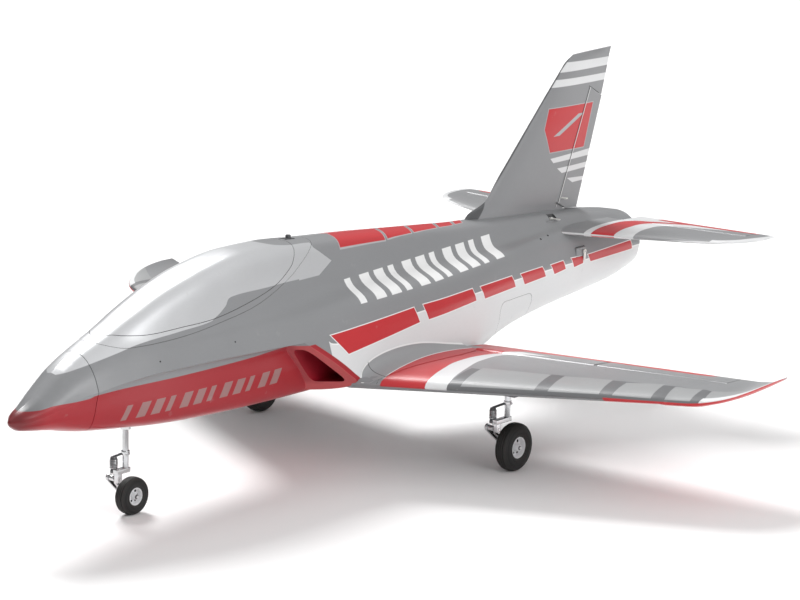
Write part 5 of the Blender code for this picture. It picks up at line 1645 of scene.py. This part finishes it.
def trailing_arm(knee, axle, reach, paints):
    paint = paints["metal"]
    near, far = knee - Vector((0.0170, 0, 0)), axle - Vector((0.0170, 0, 0))
    along = (far - near).normalized()
    cross = Vector((1, 0, 0)).cross(along).normalized()
    length = (far - near).length
    outline = link_outline(length, 0.0046, 0.0038)
    rings = [[near + along * u + cross * v + Vector((x, 0, 0)) for u, v in outline] for x in (0.0, 0.0036)]
    arm = bevelled(loft("arm", rings, paint), 0.0005, 2)
    slot = [[near + along * u + cross * v + Vector((x, 0, 0)) for u,
             v in ((length * 0.3, -0.0011), (length * 0.74, -0.0009),
                                                                           (length * 0.74, 0.0009),
                   (length * 0.3, 0.0011))]
            for x in (-0.001, 0.005)]
    cut(arm, loft("slot", slot, paint))
    parts = [rod("pin", near, knee + Vector((0.0036, 0, 0)), 0.0016, paint, 20),
             bevelled(rod("boss", near, knee - Vector((0.0046, 0, 0)), 0.0034, paint, 28), 0.0004),
             rod("axle", far, axle + Vector((reach, 0, 0)), 0.0018, paint, 20),
             bevelled(rod("axle_boss", far + Vector((0.0030, 0, 0)), far + Vector((0.0056, 0, 0)), 0.0032,
                          paint, 28), 0.0004),
             rod("plunger", knee + Vector((-0.0075, 0, 0.0020)), knee + Vector((-0.0075, 0, 0.0130)),
                 0.0009, paint, 16),
             cap_screw("screw", near, (-1, 0, 0), 0.0017, paints["metal"])]
    return merge(arm, *parts)


def wheel_rim(axle, size, paints):
    half, rim = size[1:]
    profile = [(0.0021, -half * 0.95), (rim * 0.30, -half * 0.95), (rim * 0.34, -half * 0.80),
               (rim * 0.42, -half * 0.30),
               (rim * 0.80, -half * 0.24), (rim * 0.88, -half * 0.66), (rim * 0.92, -half * 0.84),
               (rim, -half * 0.84),
               (rim, half * 0.84), (rim * 0.92, half * 0.84), (rim * 0.88, half * 0.66),
               (rim * 0.80, half * 0.24),
               (rim * 0.42, half * 0.30), (rim * 0.34, half * 0.80), (rim * 0.30, half * 0.95),
               (0.0021, half * 0.95)]
    wheel = turned("rim", profile, axle, (1, 0, 0), paints["rim"], 56)
    for k in range(6):
        turn = 2 * math.pi * k / 6
        out = axle + Vector((0, math.cos(turn), math.sin(turn))) * rim * 0.61
        for side in (1, -1):
            near = Vector((side * half * 0.06, 0, 0))
            # the hole walls and floors take the dark plastic finish: painted shade inside the rim's holes
            cut(wheel, rod("hole", out + near, out + near * 25, rim * 0.150, paints["dark_plastic"], 16))
    bevelled(wheel, 0.00025, 1, 35)
    parts = []
    for side in (1, -1):
        face = axle + Vector((side * half * 0.95, 0, 0))
        parts.append(turned("bush", [(0.0019, 0.0), (0.0030, 0.0), (0.0030, side * 0.0005),
                                     (0.0019, side * 0.0005)],
                            face - Vector((side * 0.0003, 0, 0)), (1, 0, 0), paints["dark_metal"], 28))
    return merge(wheel, *parts)


def tyre(axle, size, paint, sides=112):
    """Tyre with a ribbed tread and a moulded sidewall ring."""
    radius, half, rim = size
    wall = radius - rim
    side_profile = [(rim + 0.0003, 0.84), (rim + 0.10 * wall, 0.93), (rim + 0.25 * wall, 0.99),
                    (rim + 0.30 * wall, 0.955),
                    (rim + 0.36 * wall, 0.995), (rim + 0.52 * wall, 0.99), (rim + 0.66 * wall, 0.955),
                    (rim + 0.70 * wall, 0.905), (rim + 0.75 * wall, 0.93), (rim + 0.86 * wall, 0.82),
                    (rim + 0.955 * wall, 0.60)]
    groove = 0.0006
    tread = [(radius - 0.0007, 0.52), (radius - 0.0007 - groove, 0.49), (radius - 0.0006 - groove, 0.43),
             (radius - 0.0002, 0.40), (radius - 0.0001, 0.22), (radius - groove, 0.19),
             (radius - groove, 0.13),
             (radius, 0.10)]
    half_profile = side_profile + tread
    profile = [(r, a * half) for r, a in half_profile] + [(r, -a * half) for r, a in reversed(half_profile)]
    return turned("tyre", profile, axle, (1, 0, 0), paint, sides)


def build_wheel(prefix, suffix, axle, size, paints, body):
    rim = wheel_rim(axle, size, paints)
    rim.name = prefix + "_wheel_rim" + suffix
    smooth_by_angle(rim, 30)
    place_piece(rim, body, [prefix + "_rim" + suffix])
    rubber = tyre(axle, size, paints["rubber"])
    rubber.name = prefix + "_wheel_tyre" + suffix
    smooth_by_angle(rubber, 30)
    place_piece(rubber, body, [prefix + "_tyre" + suffix])
    return rim, rubber


def retract_block(name, pivot, low, high, slot_low, slot_high, paints, axis):
    """Moulded retract housing with its slot, pivot bore and screws."""
    paint = paints["dark_plastic"]
    unit = box(name, pivot + Vector(low), pivot + Vector(high), paint)
    cut(unit, box("slot", pivot + Vector(slot_low), pivot + Vector(slot_high), paint))
    reach = 0.016
    cut(unit, rod("eye", pivot - Vector(axis) * reach * 1.15, pivot + Vector(axis) * reach * 1.15, 0.0025,
                  paint, 24))
    bevelled(unit, 0.0008, 2)
    screws = []
    for u in (0.12, 0.88):
        for v in (0.12, 0.88):
            spot = pivot + Vector((low[0] + (high[0] - low[0]) * u, low[1] + (high[1] - low[1]) * v,
                                   low[2]))
            screws.append(cap_screw("screw", spot + Vector((0, 0, 0.0008)), (0, 0, -1), 0.0013,
                                    paints["metal"]))
    merge(unit, *screws)
    return smooth_by_angle(unit, 30)


def build_main_gear(paints):
    made = []
    pivot, shelf = MAIN_PIVOT, 0.0690
    unit = retract_block("main_retract_unit_left", pivot, (-0.0150, -0.0200, -0.0060),
                         (0.0250, 0.0200, 0.0180),
                         (-0.030, -0.0068, -0.05), (0.0210, 0.0068, 0.0110), paints, (0, 1, 0))
    made.append(place_left(unit, "airframe", "main_retract_left", "dark_plastic"))
    metal = paints["metal"]
    block = box("main_strut_left", pivot + Vector((-0.0055, -0.0060, -0.0090)),
                pivot + Vector((0.0055, 0.0060, 0.0045)), metal)
    bevelled(block, 0.0012, 3)
    parts = [rod("pins", pivot - Vector((0, 0.0150, 0)), pivot + Vector((0, 0.0150, 0)), 0.0020, metal, 20),
             strut(Vector((pivot.x, pivot.y, shelf + 0.001)), pivot + Vector((0, 0, -0.004)), 0.0042,
                   metal),
             cap_screw("screw", pivot + Vector((0.0055, 0, -0.0055)), (1, 0, 0), 0.0015, metal)]
    parts += damper_and_strut(pivot, MAIN_KNEE, shelf, metal, metal, paints["dark_metal"])
    merge(block, *parts)
    smooth_by_angle(block, 35)
    made.append(place_left(block, "main_leg_left", "main_leg_left", "polished_metal"))
    arm = trailing_arm(MAIN_KNEE, MAIN_AXLE, 0.0112, paints)
    arm.name = "main_link_left"
    smooth_by_angle(arm, 35)
    made.append(place_left(arm, "main_arm_left", "main_arm_left", "polished_metal"))
    rim, rubber = build_wheel("main", "_left", MAIN_AXLE, MAIN_WHEEL, paints, "main_wheel_left")
    made.append((rim, "main_wheel_right", "main_rim_right", "light_plastic"))
    made.append((rubber, "main_wheel_right", "main_tyre_right", "black_rubber"))
    return made


def build_nose_gear(paints):
    pivot, shelf, metal = NOSE_PIVOT, 0.0550, paints["metal"]
    unit = retract_block("nose_retract_unit", pivot, (-0.0180, -0.0130, -0.0100), (0.0180, 0.0130, 0.0260),
                         (-0.0103, -0.02, -0.05), (0.0103, 0.02, 0.0170), paints, (1, 0, 0))
    place_piece(unit, "airframe", ["nose_retract"])
    block = box("nose_pivot_block", pivot + Vector((-0.0095, -0.0070, -0.0100)),
                pivot + Vector((0.0095, 0.0070, 0.0080)), metal)
    bevelled(block, 0.0012, 3)
    cut(block, rod("bore", pivot + Vector((0, 0, -0.02)), pivot + Vector((0, 0, -0.0030)), 0.0044, metal,
                   32))
    merge(block, rod("pins", pivot - Vector((0.0150, 0, 0)), pivot + Vector((0.0150, 0, 0)), 0.0022,
                     metal, 20),
          cap_screw("screw", pivot + Vector((0, -0.0070, 0.0030)), (0, -1, 0), 0.0014, metal))
    smooth_by_angle(block, 35)
    place_piece(block, "nose_trunnion", ["nose_trunnion"])
    leg = strut(Vector((0, pivot.y, shelf + 0.001)), pivot + Vector((0, 0, -0.0034)), 0.0040, metal)
    leg.name = "nose_strut"
    collar = turned("collar", [(0.0036, 0.0), (0.0056, 0.0), (0.0062, 0.0006), (0.0062, 0.0088),
                               (0.0056, 0.0094),
                               (0.0036, 0.0094)], pivot + Vector((0, 0, -0.0200)), (0, 0, 1), metal, 40)
    grub = cap_screw("screw", pivot + Vector((0, -0.0060, -0.0152)), (0, -1, 0), 0.0013, metal)
    merge(leg, collar, grub, *damper_and_strut(pivot, NOSE_KNEE, shelf, metal, metal, paints["dark_metal"]))
    smooth_by_angle(leg, 35)
    place_piece(leg, "nose_leg", ["nose_leg"])
    arm = trailing_arm(NOSE_KNEE, NOSE_AXLE, 0.0096, paints)
    arm.name = "nose_link"
    smooth_by_angle(arm, 35)
    place_piece(arm, "nose_arm", ["nose_arm"])
    build_wheel("nose", "", NOSE_AXLE, NOSE_WHEEL, paints, "nose_wheel")


# ---------------------------------------------------------------- power and radio
def build_fan(paints):
    centre = Vector((0, FAN_Y, THRUST_Z))
    plastic = paints["dark_plastic"]
    housing_profile = [(FAN_RADIUS, -0.036), (0.0412, -0.0425), (0.0430, -0.0455), (0.0442, -0.0440),
                       (0.0450, -0.040), (0.0450, -0.012), (0.0446, -0.010), (0.0446, 0.010), (0.0450, 0.012),
                       (0.0450, 0.036),
                       (FAN_RADIUS, 0.036)]
    housing = turned("fan_shroud", housing_profile, centre, (0, 1, 0), plastic, 96)
    parts = []
    for k in range(4):
        turn = math.pi * (0.25 + 0.5 * k)
        out = Vector((math.cos(turn), 0, math.sin(turn)))
        rings = []
        for reach in (0.0155, 0.0408):
            rings.append(section_ring(centre + out * reach + Vector((0, 0.012, 0)),
                                      centre + out * reach + Vector((0, 0.034, 0)),
                                      0.0030, out.cross(Vector((0, 1, 0))), steps=8))
        parts.append(loft("vane", rings, plastic))
    parts.append(turned("sleeve", [(0.0150, 0.008), (0.0165, 0.0086), (0.0165, 0.034), (0.0150, 0.0345)],
                        centre, (0, 1, 0),
                        plastic, 56))
    merge(housing, *parts)
    smooth_by_angle(housing, 32)
    place_piece(housing, "airframe", ["fan_housing"])
    motor = turned("fan_motor_case", [(0.0004, 0.0085), (0.0130, 0.0085), (0.0146, 0.0100),
                                      (0.0146, 0.0385), (0.0132, 0.0400),
                                      (0.0060, 0.0400), (0.0056, 0.0392), (0.0004, 0.0392)], centre,
                   (0, 1, 0), paints["metal"], 56)
    for k in range(6):
        turn = 2 * math.pi * k / 6
        spot = centre + Vector((math.cos(turn) * 0.0100, 0.036, math.sin(turn) * 0.0100))
        cut(motor, rod("vent", spot, spot + Vector((0, 0.01, 0)), 0.0018, paints["metal"], 14))
    merge(motor, rod("shaft", centre + Vector((0, -0.012, 0)), centre + Vector((0, 0.012, 0)), 0.0020,
                     paints["metal"], 20))
    smooth_by_angle(motor, 32)
    place_piece(motor, "airframe", ["fan_motor"])
    hub = [(0.0024, 0.0065), (0.0155, 0.0065), (0.0155, -0.006), (0.0148, -0.0100), (0.0132, -0.0145),
           (0.0110, -0.0185), (0.0080, -0.0225), (0.0050, -0.0255), (0.0024, -0.0268)]
    rotor = turned("fan_wheel", hub, centre, (0, 1, 0), plastic, 72)
    blades = []
    for k in range(9):
        spin = Matrix.Rotation(2 * math.pi * k / 9, 3, "Y")
        rings = []
        for step in range(7):
            part = step / 6
            radius = 0.0140 + 0.0240 * part
            pitch = math.radians(34 + 24 * part)
            half = 0.0082 - 0.0004 * part
            ring = []
            for u, v in ((-1.0, 0.0), (-0.6, 0.10), (0.0, 0.155), (0.6, 0.10), (1.0, 0.01), (0.6, 0.01),
                         (0.0, 0.03), (-0.6, 0.01)):
                run, rise = u * half, v * half
                x = run * math.sin(pitch) + rise * math.cos(pitch)
                y = run * math.cos(pitch) - rise * math.sin(pitch)
                ring.append(centre + spin @ Vector((x, y, math.sqrt(max(radius**2 - x**2, 0)))))
            rings.append(ring)
        blades.append(loft("blade", rings, plastic))
    merge(rotor, *blades)
    smooth_by_angle(rotor, 38)
    place_piece(rotor, "fan_rotor", ["fan_rotor"])


def build_exhaust(paints):
    start, end = Vector((0, FAN_Y + 0.0400, THRUST_Z)), Vector((0, 0.6072, NOZZLE_Z))
    length = (end - start).length
    profile = [(0.0424, 0.0), (0.0436, 0.0), (0.0394, length - 0.0040), (0.0396, length - 0.0020),
               (0.0392, length),
               (0.0380, length), (0.0378, length - 0.0015)]
    pipe = turned("exhaust_liner", profile, start, end - start, paints["dark_plastic"], 96)
    smooth_by_angle(pipe, 32)
    place_piece(pipe, "airframe", ["exhaust_tube"])


def rounded_block(name, low, high, radius, paint, segments=4):
    return bevelled(box(name, low, high, paint), radius, segments)


def build_radio(paints):
    floor = BATTERY_BAY[3]
    tray = box("battery_shelf", (-0.0275, -0.4250, floor + GAP), (0.0275, -0.1500, floor + 0.0024),
               paints["light_plastic"])
    for k in range(5):
        y = -0.400 + 0.052 * k
        for side in (1, -1):
            cut(tray, rounded_block("slot", (side * 0.0245 - 0.0012, y, floor - 0.002),
                                    (side * 0.0245 + 0.0012, y + 0.024,
                                    floor + 0.006), 0.0008, paints["light_plastic"], 2))
    bevelled(tray, 0.0003, 1)
    smooth_by_angle(tray, 30)
    place_piece(tray, "airframe", ["battery_tray"])
    pack = rounded_block("battery_pack", (-0.0225, -0.4080, floor + 0.0030),
                         (0.0225, -0.2580, floor + 0.0460), 0.0036,
                         paints["wrap"])
    card = rounded_block("card", (-0.0215, -0.3960, floor + 0.0455), (0.0215, -0.2700, floor + 0.0462),
                         0.0002, paints["label"], 1)
    leads = []
    for k, x in enumerate((-0.006, 0.006)):
        path = curve_through([(x, -0.2600, floor + 0.034), (x, -0.2520, floor + 0.036),
                              (x * 0.8, -0.2440, floor + 0.030),
                              (x * 0.7, -0.2385, floor + 0.014), (x * 0.7, -0.2340, floor + 0.011)], 6)
        leads.append(tube("lead", path, 0.0018, paints["rubber"] if k else paints["duct"], 12))
    merge(pack, card, *leads)
    smooth_by_angle(pack, 35)
    place_piece(pack, "airframe", ["battery"])
    for k, y in enumerate((-0.375, -0.300)):
        path = [(-0.0245, y, floor + 0.0030), (-0.0241, y, floor + 0.0400), (-0.0232, y, floor + 0.0463),
                (-0.0205, y, floor + 0.0476),
                (0.0205, y, floor + 0.0476), (0.0232, y, floor + 0.0463), (0.0241, y, floor + 0.0400),
                (0.0245, y, floor + 0.0030)]
        rings = []
        for a in path:
            out = Vector((a[0], 0, a[2] - floor - 0.02)).normalized() * 0.0007
            rings.append([Vector(a) + Vector((0, -0.010, 0)), Vector(a) + Vector((0, 0.010, 0)),
                          Vector(a) + Vector((0, 0.010, 0)) - out,
                          Vector(a) + Vector((0, -0.010, 0)) - out])
        band = loft("battery_strap_%d" % (k + 1), rings, paints["strap"])
        smooth_by_angle(band, 50)
        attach(band, "airframe")
    esc = rounded_block("controller_case", (-0.0170, -0.2400, floor + 0.0030),
                        (0.0170, -0.1650, floor + 0.0160), 0.0018,
                        paints["dark_plastic"])
    fins = [rounded_block("rib", (-0.0150, -0.232 + 0.0052 * k, floor + 0.0155),
                          (0.0150, -0.2298 + 0.0052 * k, floor + 0.0190), 0.0004,
                          paints["metal"], 1) for k in range(12)]
    merge(esc, *fins)
    smooth_by_angle(esc, 35)
    place_piece(esc, "airframe", ["speed_controller"])
    radio = rounded_block("receiver_case", (-0.0125, -0.0900, 0.1656), (0.0125, -0.0450, 0.1795), 0.0016,
                          paints["dark_plastic"])
    pins = [rounded_block("plug", (-0.0095 + 0.0028 * k, -0.0905, 0.1690),
                          (-0.0075 + 0.0028 * k, -0.0880, 0.1760), 0.0003,
                          paints["light_plastic"], 1) for k in range(7)]
    lid = rounded_block("lid", (-0.0105, -0.0840, 0.1792), (0.0105, -0.0500, 0.1806), 0.0006,
                        paints["servo_case"], 2)
    merge(radio, lid, *pins)
    smooth_by_angle(radio, 35)
    place_piece(radio, "airframe", ["receiver"])


def servo_case(name, spot, size, paints, paint="servo_case"):
    case = rounded_block(name, spot - Vector(size), spot + Vector(size), 0.0009, paints[paint], 2)
    seams = []
    for high in (-0.35, 0.40):
        z = spot.z + size[2] * high
        seams.append(box("seam", (spot.x - size[0] * 1.1, spot.y - size[1] * 1.1, z - 0.00015),
                         (spot.x + size[0] * 1.1, spot.y + size[1] * 1.1, z + 0.00015), paints[paint]))
    for seam in seams:
        inner = box("inner", spot - Vector(size) * 0.965, spot + Vector(size) * 0.965, paints[paint])
        cut(case, cut(seam, inner))
    return smooth_by_angle(case, 30)


def servo_arm(name, pivot, axis, tip, paints):
    """Round boss and a tapered arm with link holes and its screw."""
    pivot, tip, axis = Vector(pivot), Vector(tip), Vector(axis).normalized()
    paint = paints["light_plastic"]
    boss = bevelled(rod(name, pivot - axis * 0.0010, pivot + axis * 0.0014, 0.0032, paint, 36), 0.0003)
    reach = tip - pivot
    along, side = reach.normalized(), axis.cross(reach).normalized()
    outline = link_outline(reach.length, 0.0026, 0.0015)
    rings = [[pivot + along * u + side * v + axis * level for u, v in outline]
             for level in (-0.0002, 0.0010)]
    arm = loft("arm", rings, paint)
    for part in (0.66, 0.82, 1.0):
        spot = pivot + reach * part
        cut(arm, rod("hole", spot - axis * 0.004, spot + axis * 0.004, 0.0005, paint, 12))
    screw = cap_screw("screw", pivot + axis * 0.0012, axis, 0.0012, paints["metal"])
    merge(boss, bevelled(arm, 0.0002, 1), screw)
    return smooth_by_angle(boss, 32)


def build_servos(paints):
    made = []
    rows = (("aileron", AILERON_SERVO, (0.0060, 0.0120, 0.0048), 0.0165),
            ("flap", FLAP_SERVO, (0.0060, 0.0120, 0.0048), 0.0165),
            ("elevator", ELEVATOR_SERVO, (0.0060, 0.0120, 0.0065), 0.0120))
    for name, spot, size, reach in rows:
        node = "servo_" + name
        case = servo_case(node + "_case_left", spot, size, paints, "airframe"
                          if name == "elevator" else "servo_case")
        made.append(place_left(case, "airframe", node + "_left", "light_plastic"))
        pivot = spot + Vector((0.0074, 0.0060, 0.0))
        lever = "servo_lever_" + name
        arm = servo_arm("servo_arm_" + name + "_left", pivot, (1, 0, 0), pivot + Vector((0, 0, -reach)),
                        paints)
        made.append(place_left(arm, lever + "_left", lever + "_left", "light_plastic"))
    case = servo_case("servo_rudder_case", RUDDER_SERVO, (0.0060, 0.0120, 0.0056), paints, "airframe")
    place_piece(case, "airframe", ["servo_rudder"])
    pivot = RUDDER_SERVO + Vector((0, 0.0060, 0.0070))
    arm = servo_arm("servo_arm_rudder", pivot, (0, 0, 1), pivot + Vector((0.0140, 0, 0)), paints)
    place_piece(arm, "servo_lever_rudder", ["servo_lever_rudder"])
    return made


def build_latch(paints):
    latch = box("canopy_catch", (-0.0055, -0.1405, 0.2954), (0.0055, -0.1275, 0.3016),
                paints["dark_plastic"])
    for k in range(4):
        y = -0.1392 + 0.0026 * k
        if abs(y + 0.134) > 0.0030:
            cut(latch, box("rib", (-0.01, y, 0.3010), (0.01, y + 0.0008, 0.31), paints["dark_plastic"]))
    bevelled(latch, 0.0005, 2)
    knob = turned("knob", [(0.0003, 0.0), (0.0035, 0.0), (0.0035, 0.0034), (0.0028, 0.0044),
                           (0.0003, 0.0046)],
                  Vector((0, -0.134, 0.3014)), (0, 0, 1), paints["dark_plastic"], 40)
    merge(latch, knob)
    smooth_by_angle(latch, 35)
    place_piece(latch, "latch", ["canopy_latch"])


def finish_cad_nodes(paints):
    """Better materials for the CAD nodes that stay."""
    for node in ("wing_spar", "tail_spar"):
        bars = frame["nodes"][node]
        bars.data.materials.clear()
        bars.data.materials.append(paints["carbon"])
        smooth_by_angle(bars, 40)


# ---------------------------------------------------------------- stage
SKY_RISE = (0.0, 0.9, 0.36, 0.86)        # height from, height to, brightness from, brightness to
SKY_PORT = (-0.9, 0.9, 0.42, 1.34)       # the same from starboard to port
SUN_ENERGY = 3.0
SUN_SPREAD = math.radians(22)
SUN_DIRECTION = Vector((0.80, -0.42, -1.0))
FLOOR_RADIUS = 30
CAMERA_AIM = Vector((0.0637, 0.0160, 0.2085))
CAMERA_DISTANCE = 3.4252
CAMERA_AZIMUTH = math.radians(38.4716)
CAMERA_ELEVATION = math.radians(12.1008)
CAMERA_ROLL = math.radians(1.4515)
CAMERA_LENS = 118.77
CAMERA_SENSOR = 36.0


def plain_surface(name, colour, roughness):
    made = bpy.data.materials.new(name)
    made.use_nodes = True
    made.node_tree.nodes["Principled BSDF"].inputs["Base Color"].default_value = colour
    made.node_tree.nodes["Principled BSDF"].inputs["Roughness"].default_value = roughness
    return made


def soft_box(name, location, target, size, energy):
    lamp = bpy.data.lights.new(name, "AREA")
    lamp.shape = "RECTANGLE"
    lamp.size, lamp.size_y = size
    lamp.energy = energy
    item = bpy.data.objects.new(name, lamp)
    bpy.context.scene.collection.objects.link(item)
    item.location = location
    item.rotation_euler = (Vector(target) - Vector(location)).to_track_quat("-Z", "Y").to_euler()


def studio_light(tree):
    """Bright overhead, softer near the horizon, and a little brighter on the port side."""
    back = tree.nodes["Background"]
    place = tree.nodes.new("ShaderNodeTexCoord")
    split = tree.nodes.new("ShaderNodeSeparateXYZ")
    tree.links.new(place.outputs["Generated"], split.inputs[0])
    rise = tree.nodes.new("ShaderNodeMapRange")
    rise.interpolation_type = "SMOOTHSTEP"
    for socket, value in zip(rise.inputs[1:5], SKY_RISE):
        socket.default_value = value
    tree.links.new(split.outputs[2], rise.inputs[0])
    port = tree.nodes.new("ShaderNodeMapRange")
    for socket, value in zip(port.inputs[1:5], SKY_PORT):
        socket.default_value = value
    tree.links.new(split.outputs[0], port.inputs[0])
    both = tree.nodes.new("ShaderNodeMath")
    both.operation = "MULTIPLY"
    tree.links.new(rise.outputs[0], both.inputs[0])
    tree.links.new(port.outputs[0], both.inputs[1])
    tree.links.new(both.outputs[0], back.inputs[1])
    back.inputs[0].default_value = (1, 1, 1, 1)


def build_stage():
    floor_paint = plain_surface("floor", (0.90, 0.90, 0.90, 1), 0.9)
    turns = [2 * math.pi * k / 64 for k in range(64)]
    rings = [[Vector((FLOOR_RADIUS * math.cos(t), FLOOR_RADIUS * math.sin(t), z)) for t in turns]
             for z in (-0.02, 0.0)]
    floor = loft("floor", rings, floor_paint)
    world = bpy.data.worlds.new("studio")
    bpy.context.scene.world = world
    world.use_nodes = True
    studio_light(world.node_tree)
    sun = bpy.data.lights.new("sun", "SUN")
    sun.energy, sun.angle = SUN_ENERGY, SUN_SPREAD
    item = bpy.data.objects.new("sun", sun)
    bpy.context.scene.collection.objects.link(item)
    item.rotation_euler = SUN_DIRECTION.to_track_quat("-Z", "Y").to_euler()
    soft_box("side", (2.3, -0.3, 1.3), (0.0, 0.0, 0.2), (1.4, 0.9), 16)


def place_camera():
    """Camera on a sphere about its aim point, rolled a little about its own axis."""
    level = math.cos(CAMERA_ELEVATION)
    back = Vector((math.sin(CAMERA_AZIMUTH) * level, -math.cos(CAMERA_AZIMUTH) * level,
                   math.sin(CAMERA_ELEVATION)))
    across = Vector((0, 0, 1)).cross(back).normalized()
    up = back.cross(across)
    right = across * math.cos(CAMERA_ROLL) + up * math.sin(CAMERA_ROLL)
    top = up * math.cos(CAMERA_ROLL) - across * math.sin(CAMERA_ROLL)
    place = CAMERA_AIM + back * CAMERA_DISTANCE
    lens = bpy.data.cameras.new("camera")
    lens.lens, lens.sensor_width = CAMERA_LENS, CAMERA_SENSOR
    lens.clip_end = 100.0
    camera = bpy.data.objects.new("camera", lens)
    bpy.context.scene.collection.objects.link(camera)
    camera.matrix_world = Matrix(((right.x, top.x, back.x, place.x), (right.y, top.y, back.y, place.y),
                                  (right.z, top.z, back.z, place.z), (0, 0, 0, 1)))
    bpy.context.scene.camera = camera
    bpy.context.scene.view_settings.view_transform = "Standard"


def build_all():
    paints = make_paints()
    body_surfaces = build_fuselage(paints)
    build_nose(paints)
    build_canopy(paints)
    build_latch(paints)
    build_belly(paints)
    pairs = []
    wing, moving = build_wing(paints, body_surfaces)
    pairs.append((wing, "airframe", "wing_right", "paint_grey"))
    for piece in moving:
        node = piece.name.replace("_shell_left", "_right")
        pairs.append((piece, node, node, "paint_grey"))
    pairs.append((bpy.data.objects["wing_fillet_left"], "airframe", None, "paint_grey"))
    stab, elevator = build_tailplane(paints)
    pairs.append((stab, "airframe", "stab_right", "paint_grey"))
    pairs.append((elevator, "elevator_right", "elevator_right", "paint_red"))
    build_fin(paints)
    build_fan(paints)
    build_exhaust(paints)
    build_radio(paints)
    pairs += build_servos(paints)
    pairs += build_main_gear(paints)
    build_nose_gear(paints)
    for piece, body, node, slot in pairs:
        twin(piece, piece.name.replace("_left", "_right"), body, node)
    finish_cad_nodes(paints)
    build_stage()
    place_camera()


build_all()
bpy.context.view_layer.update()
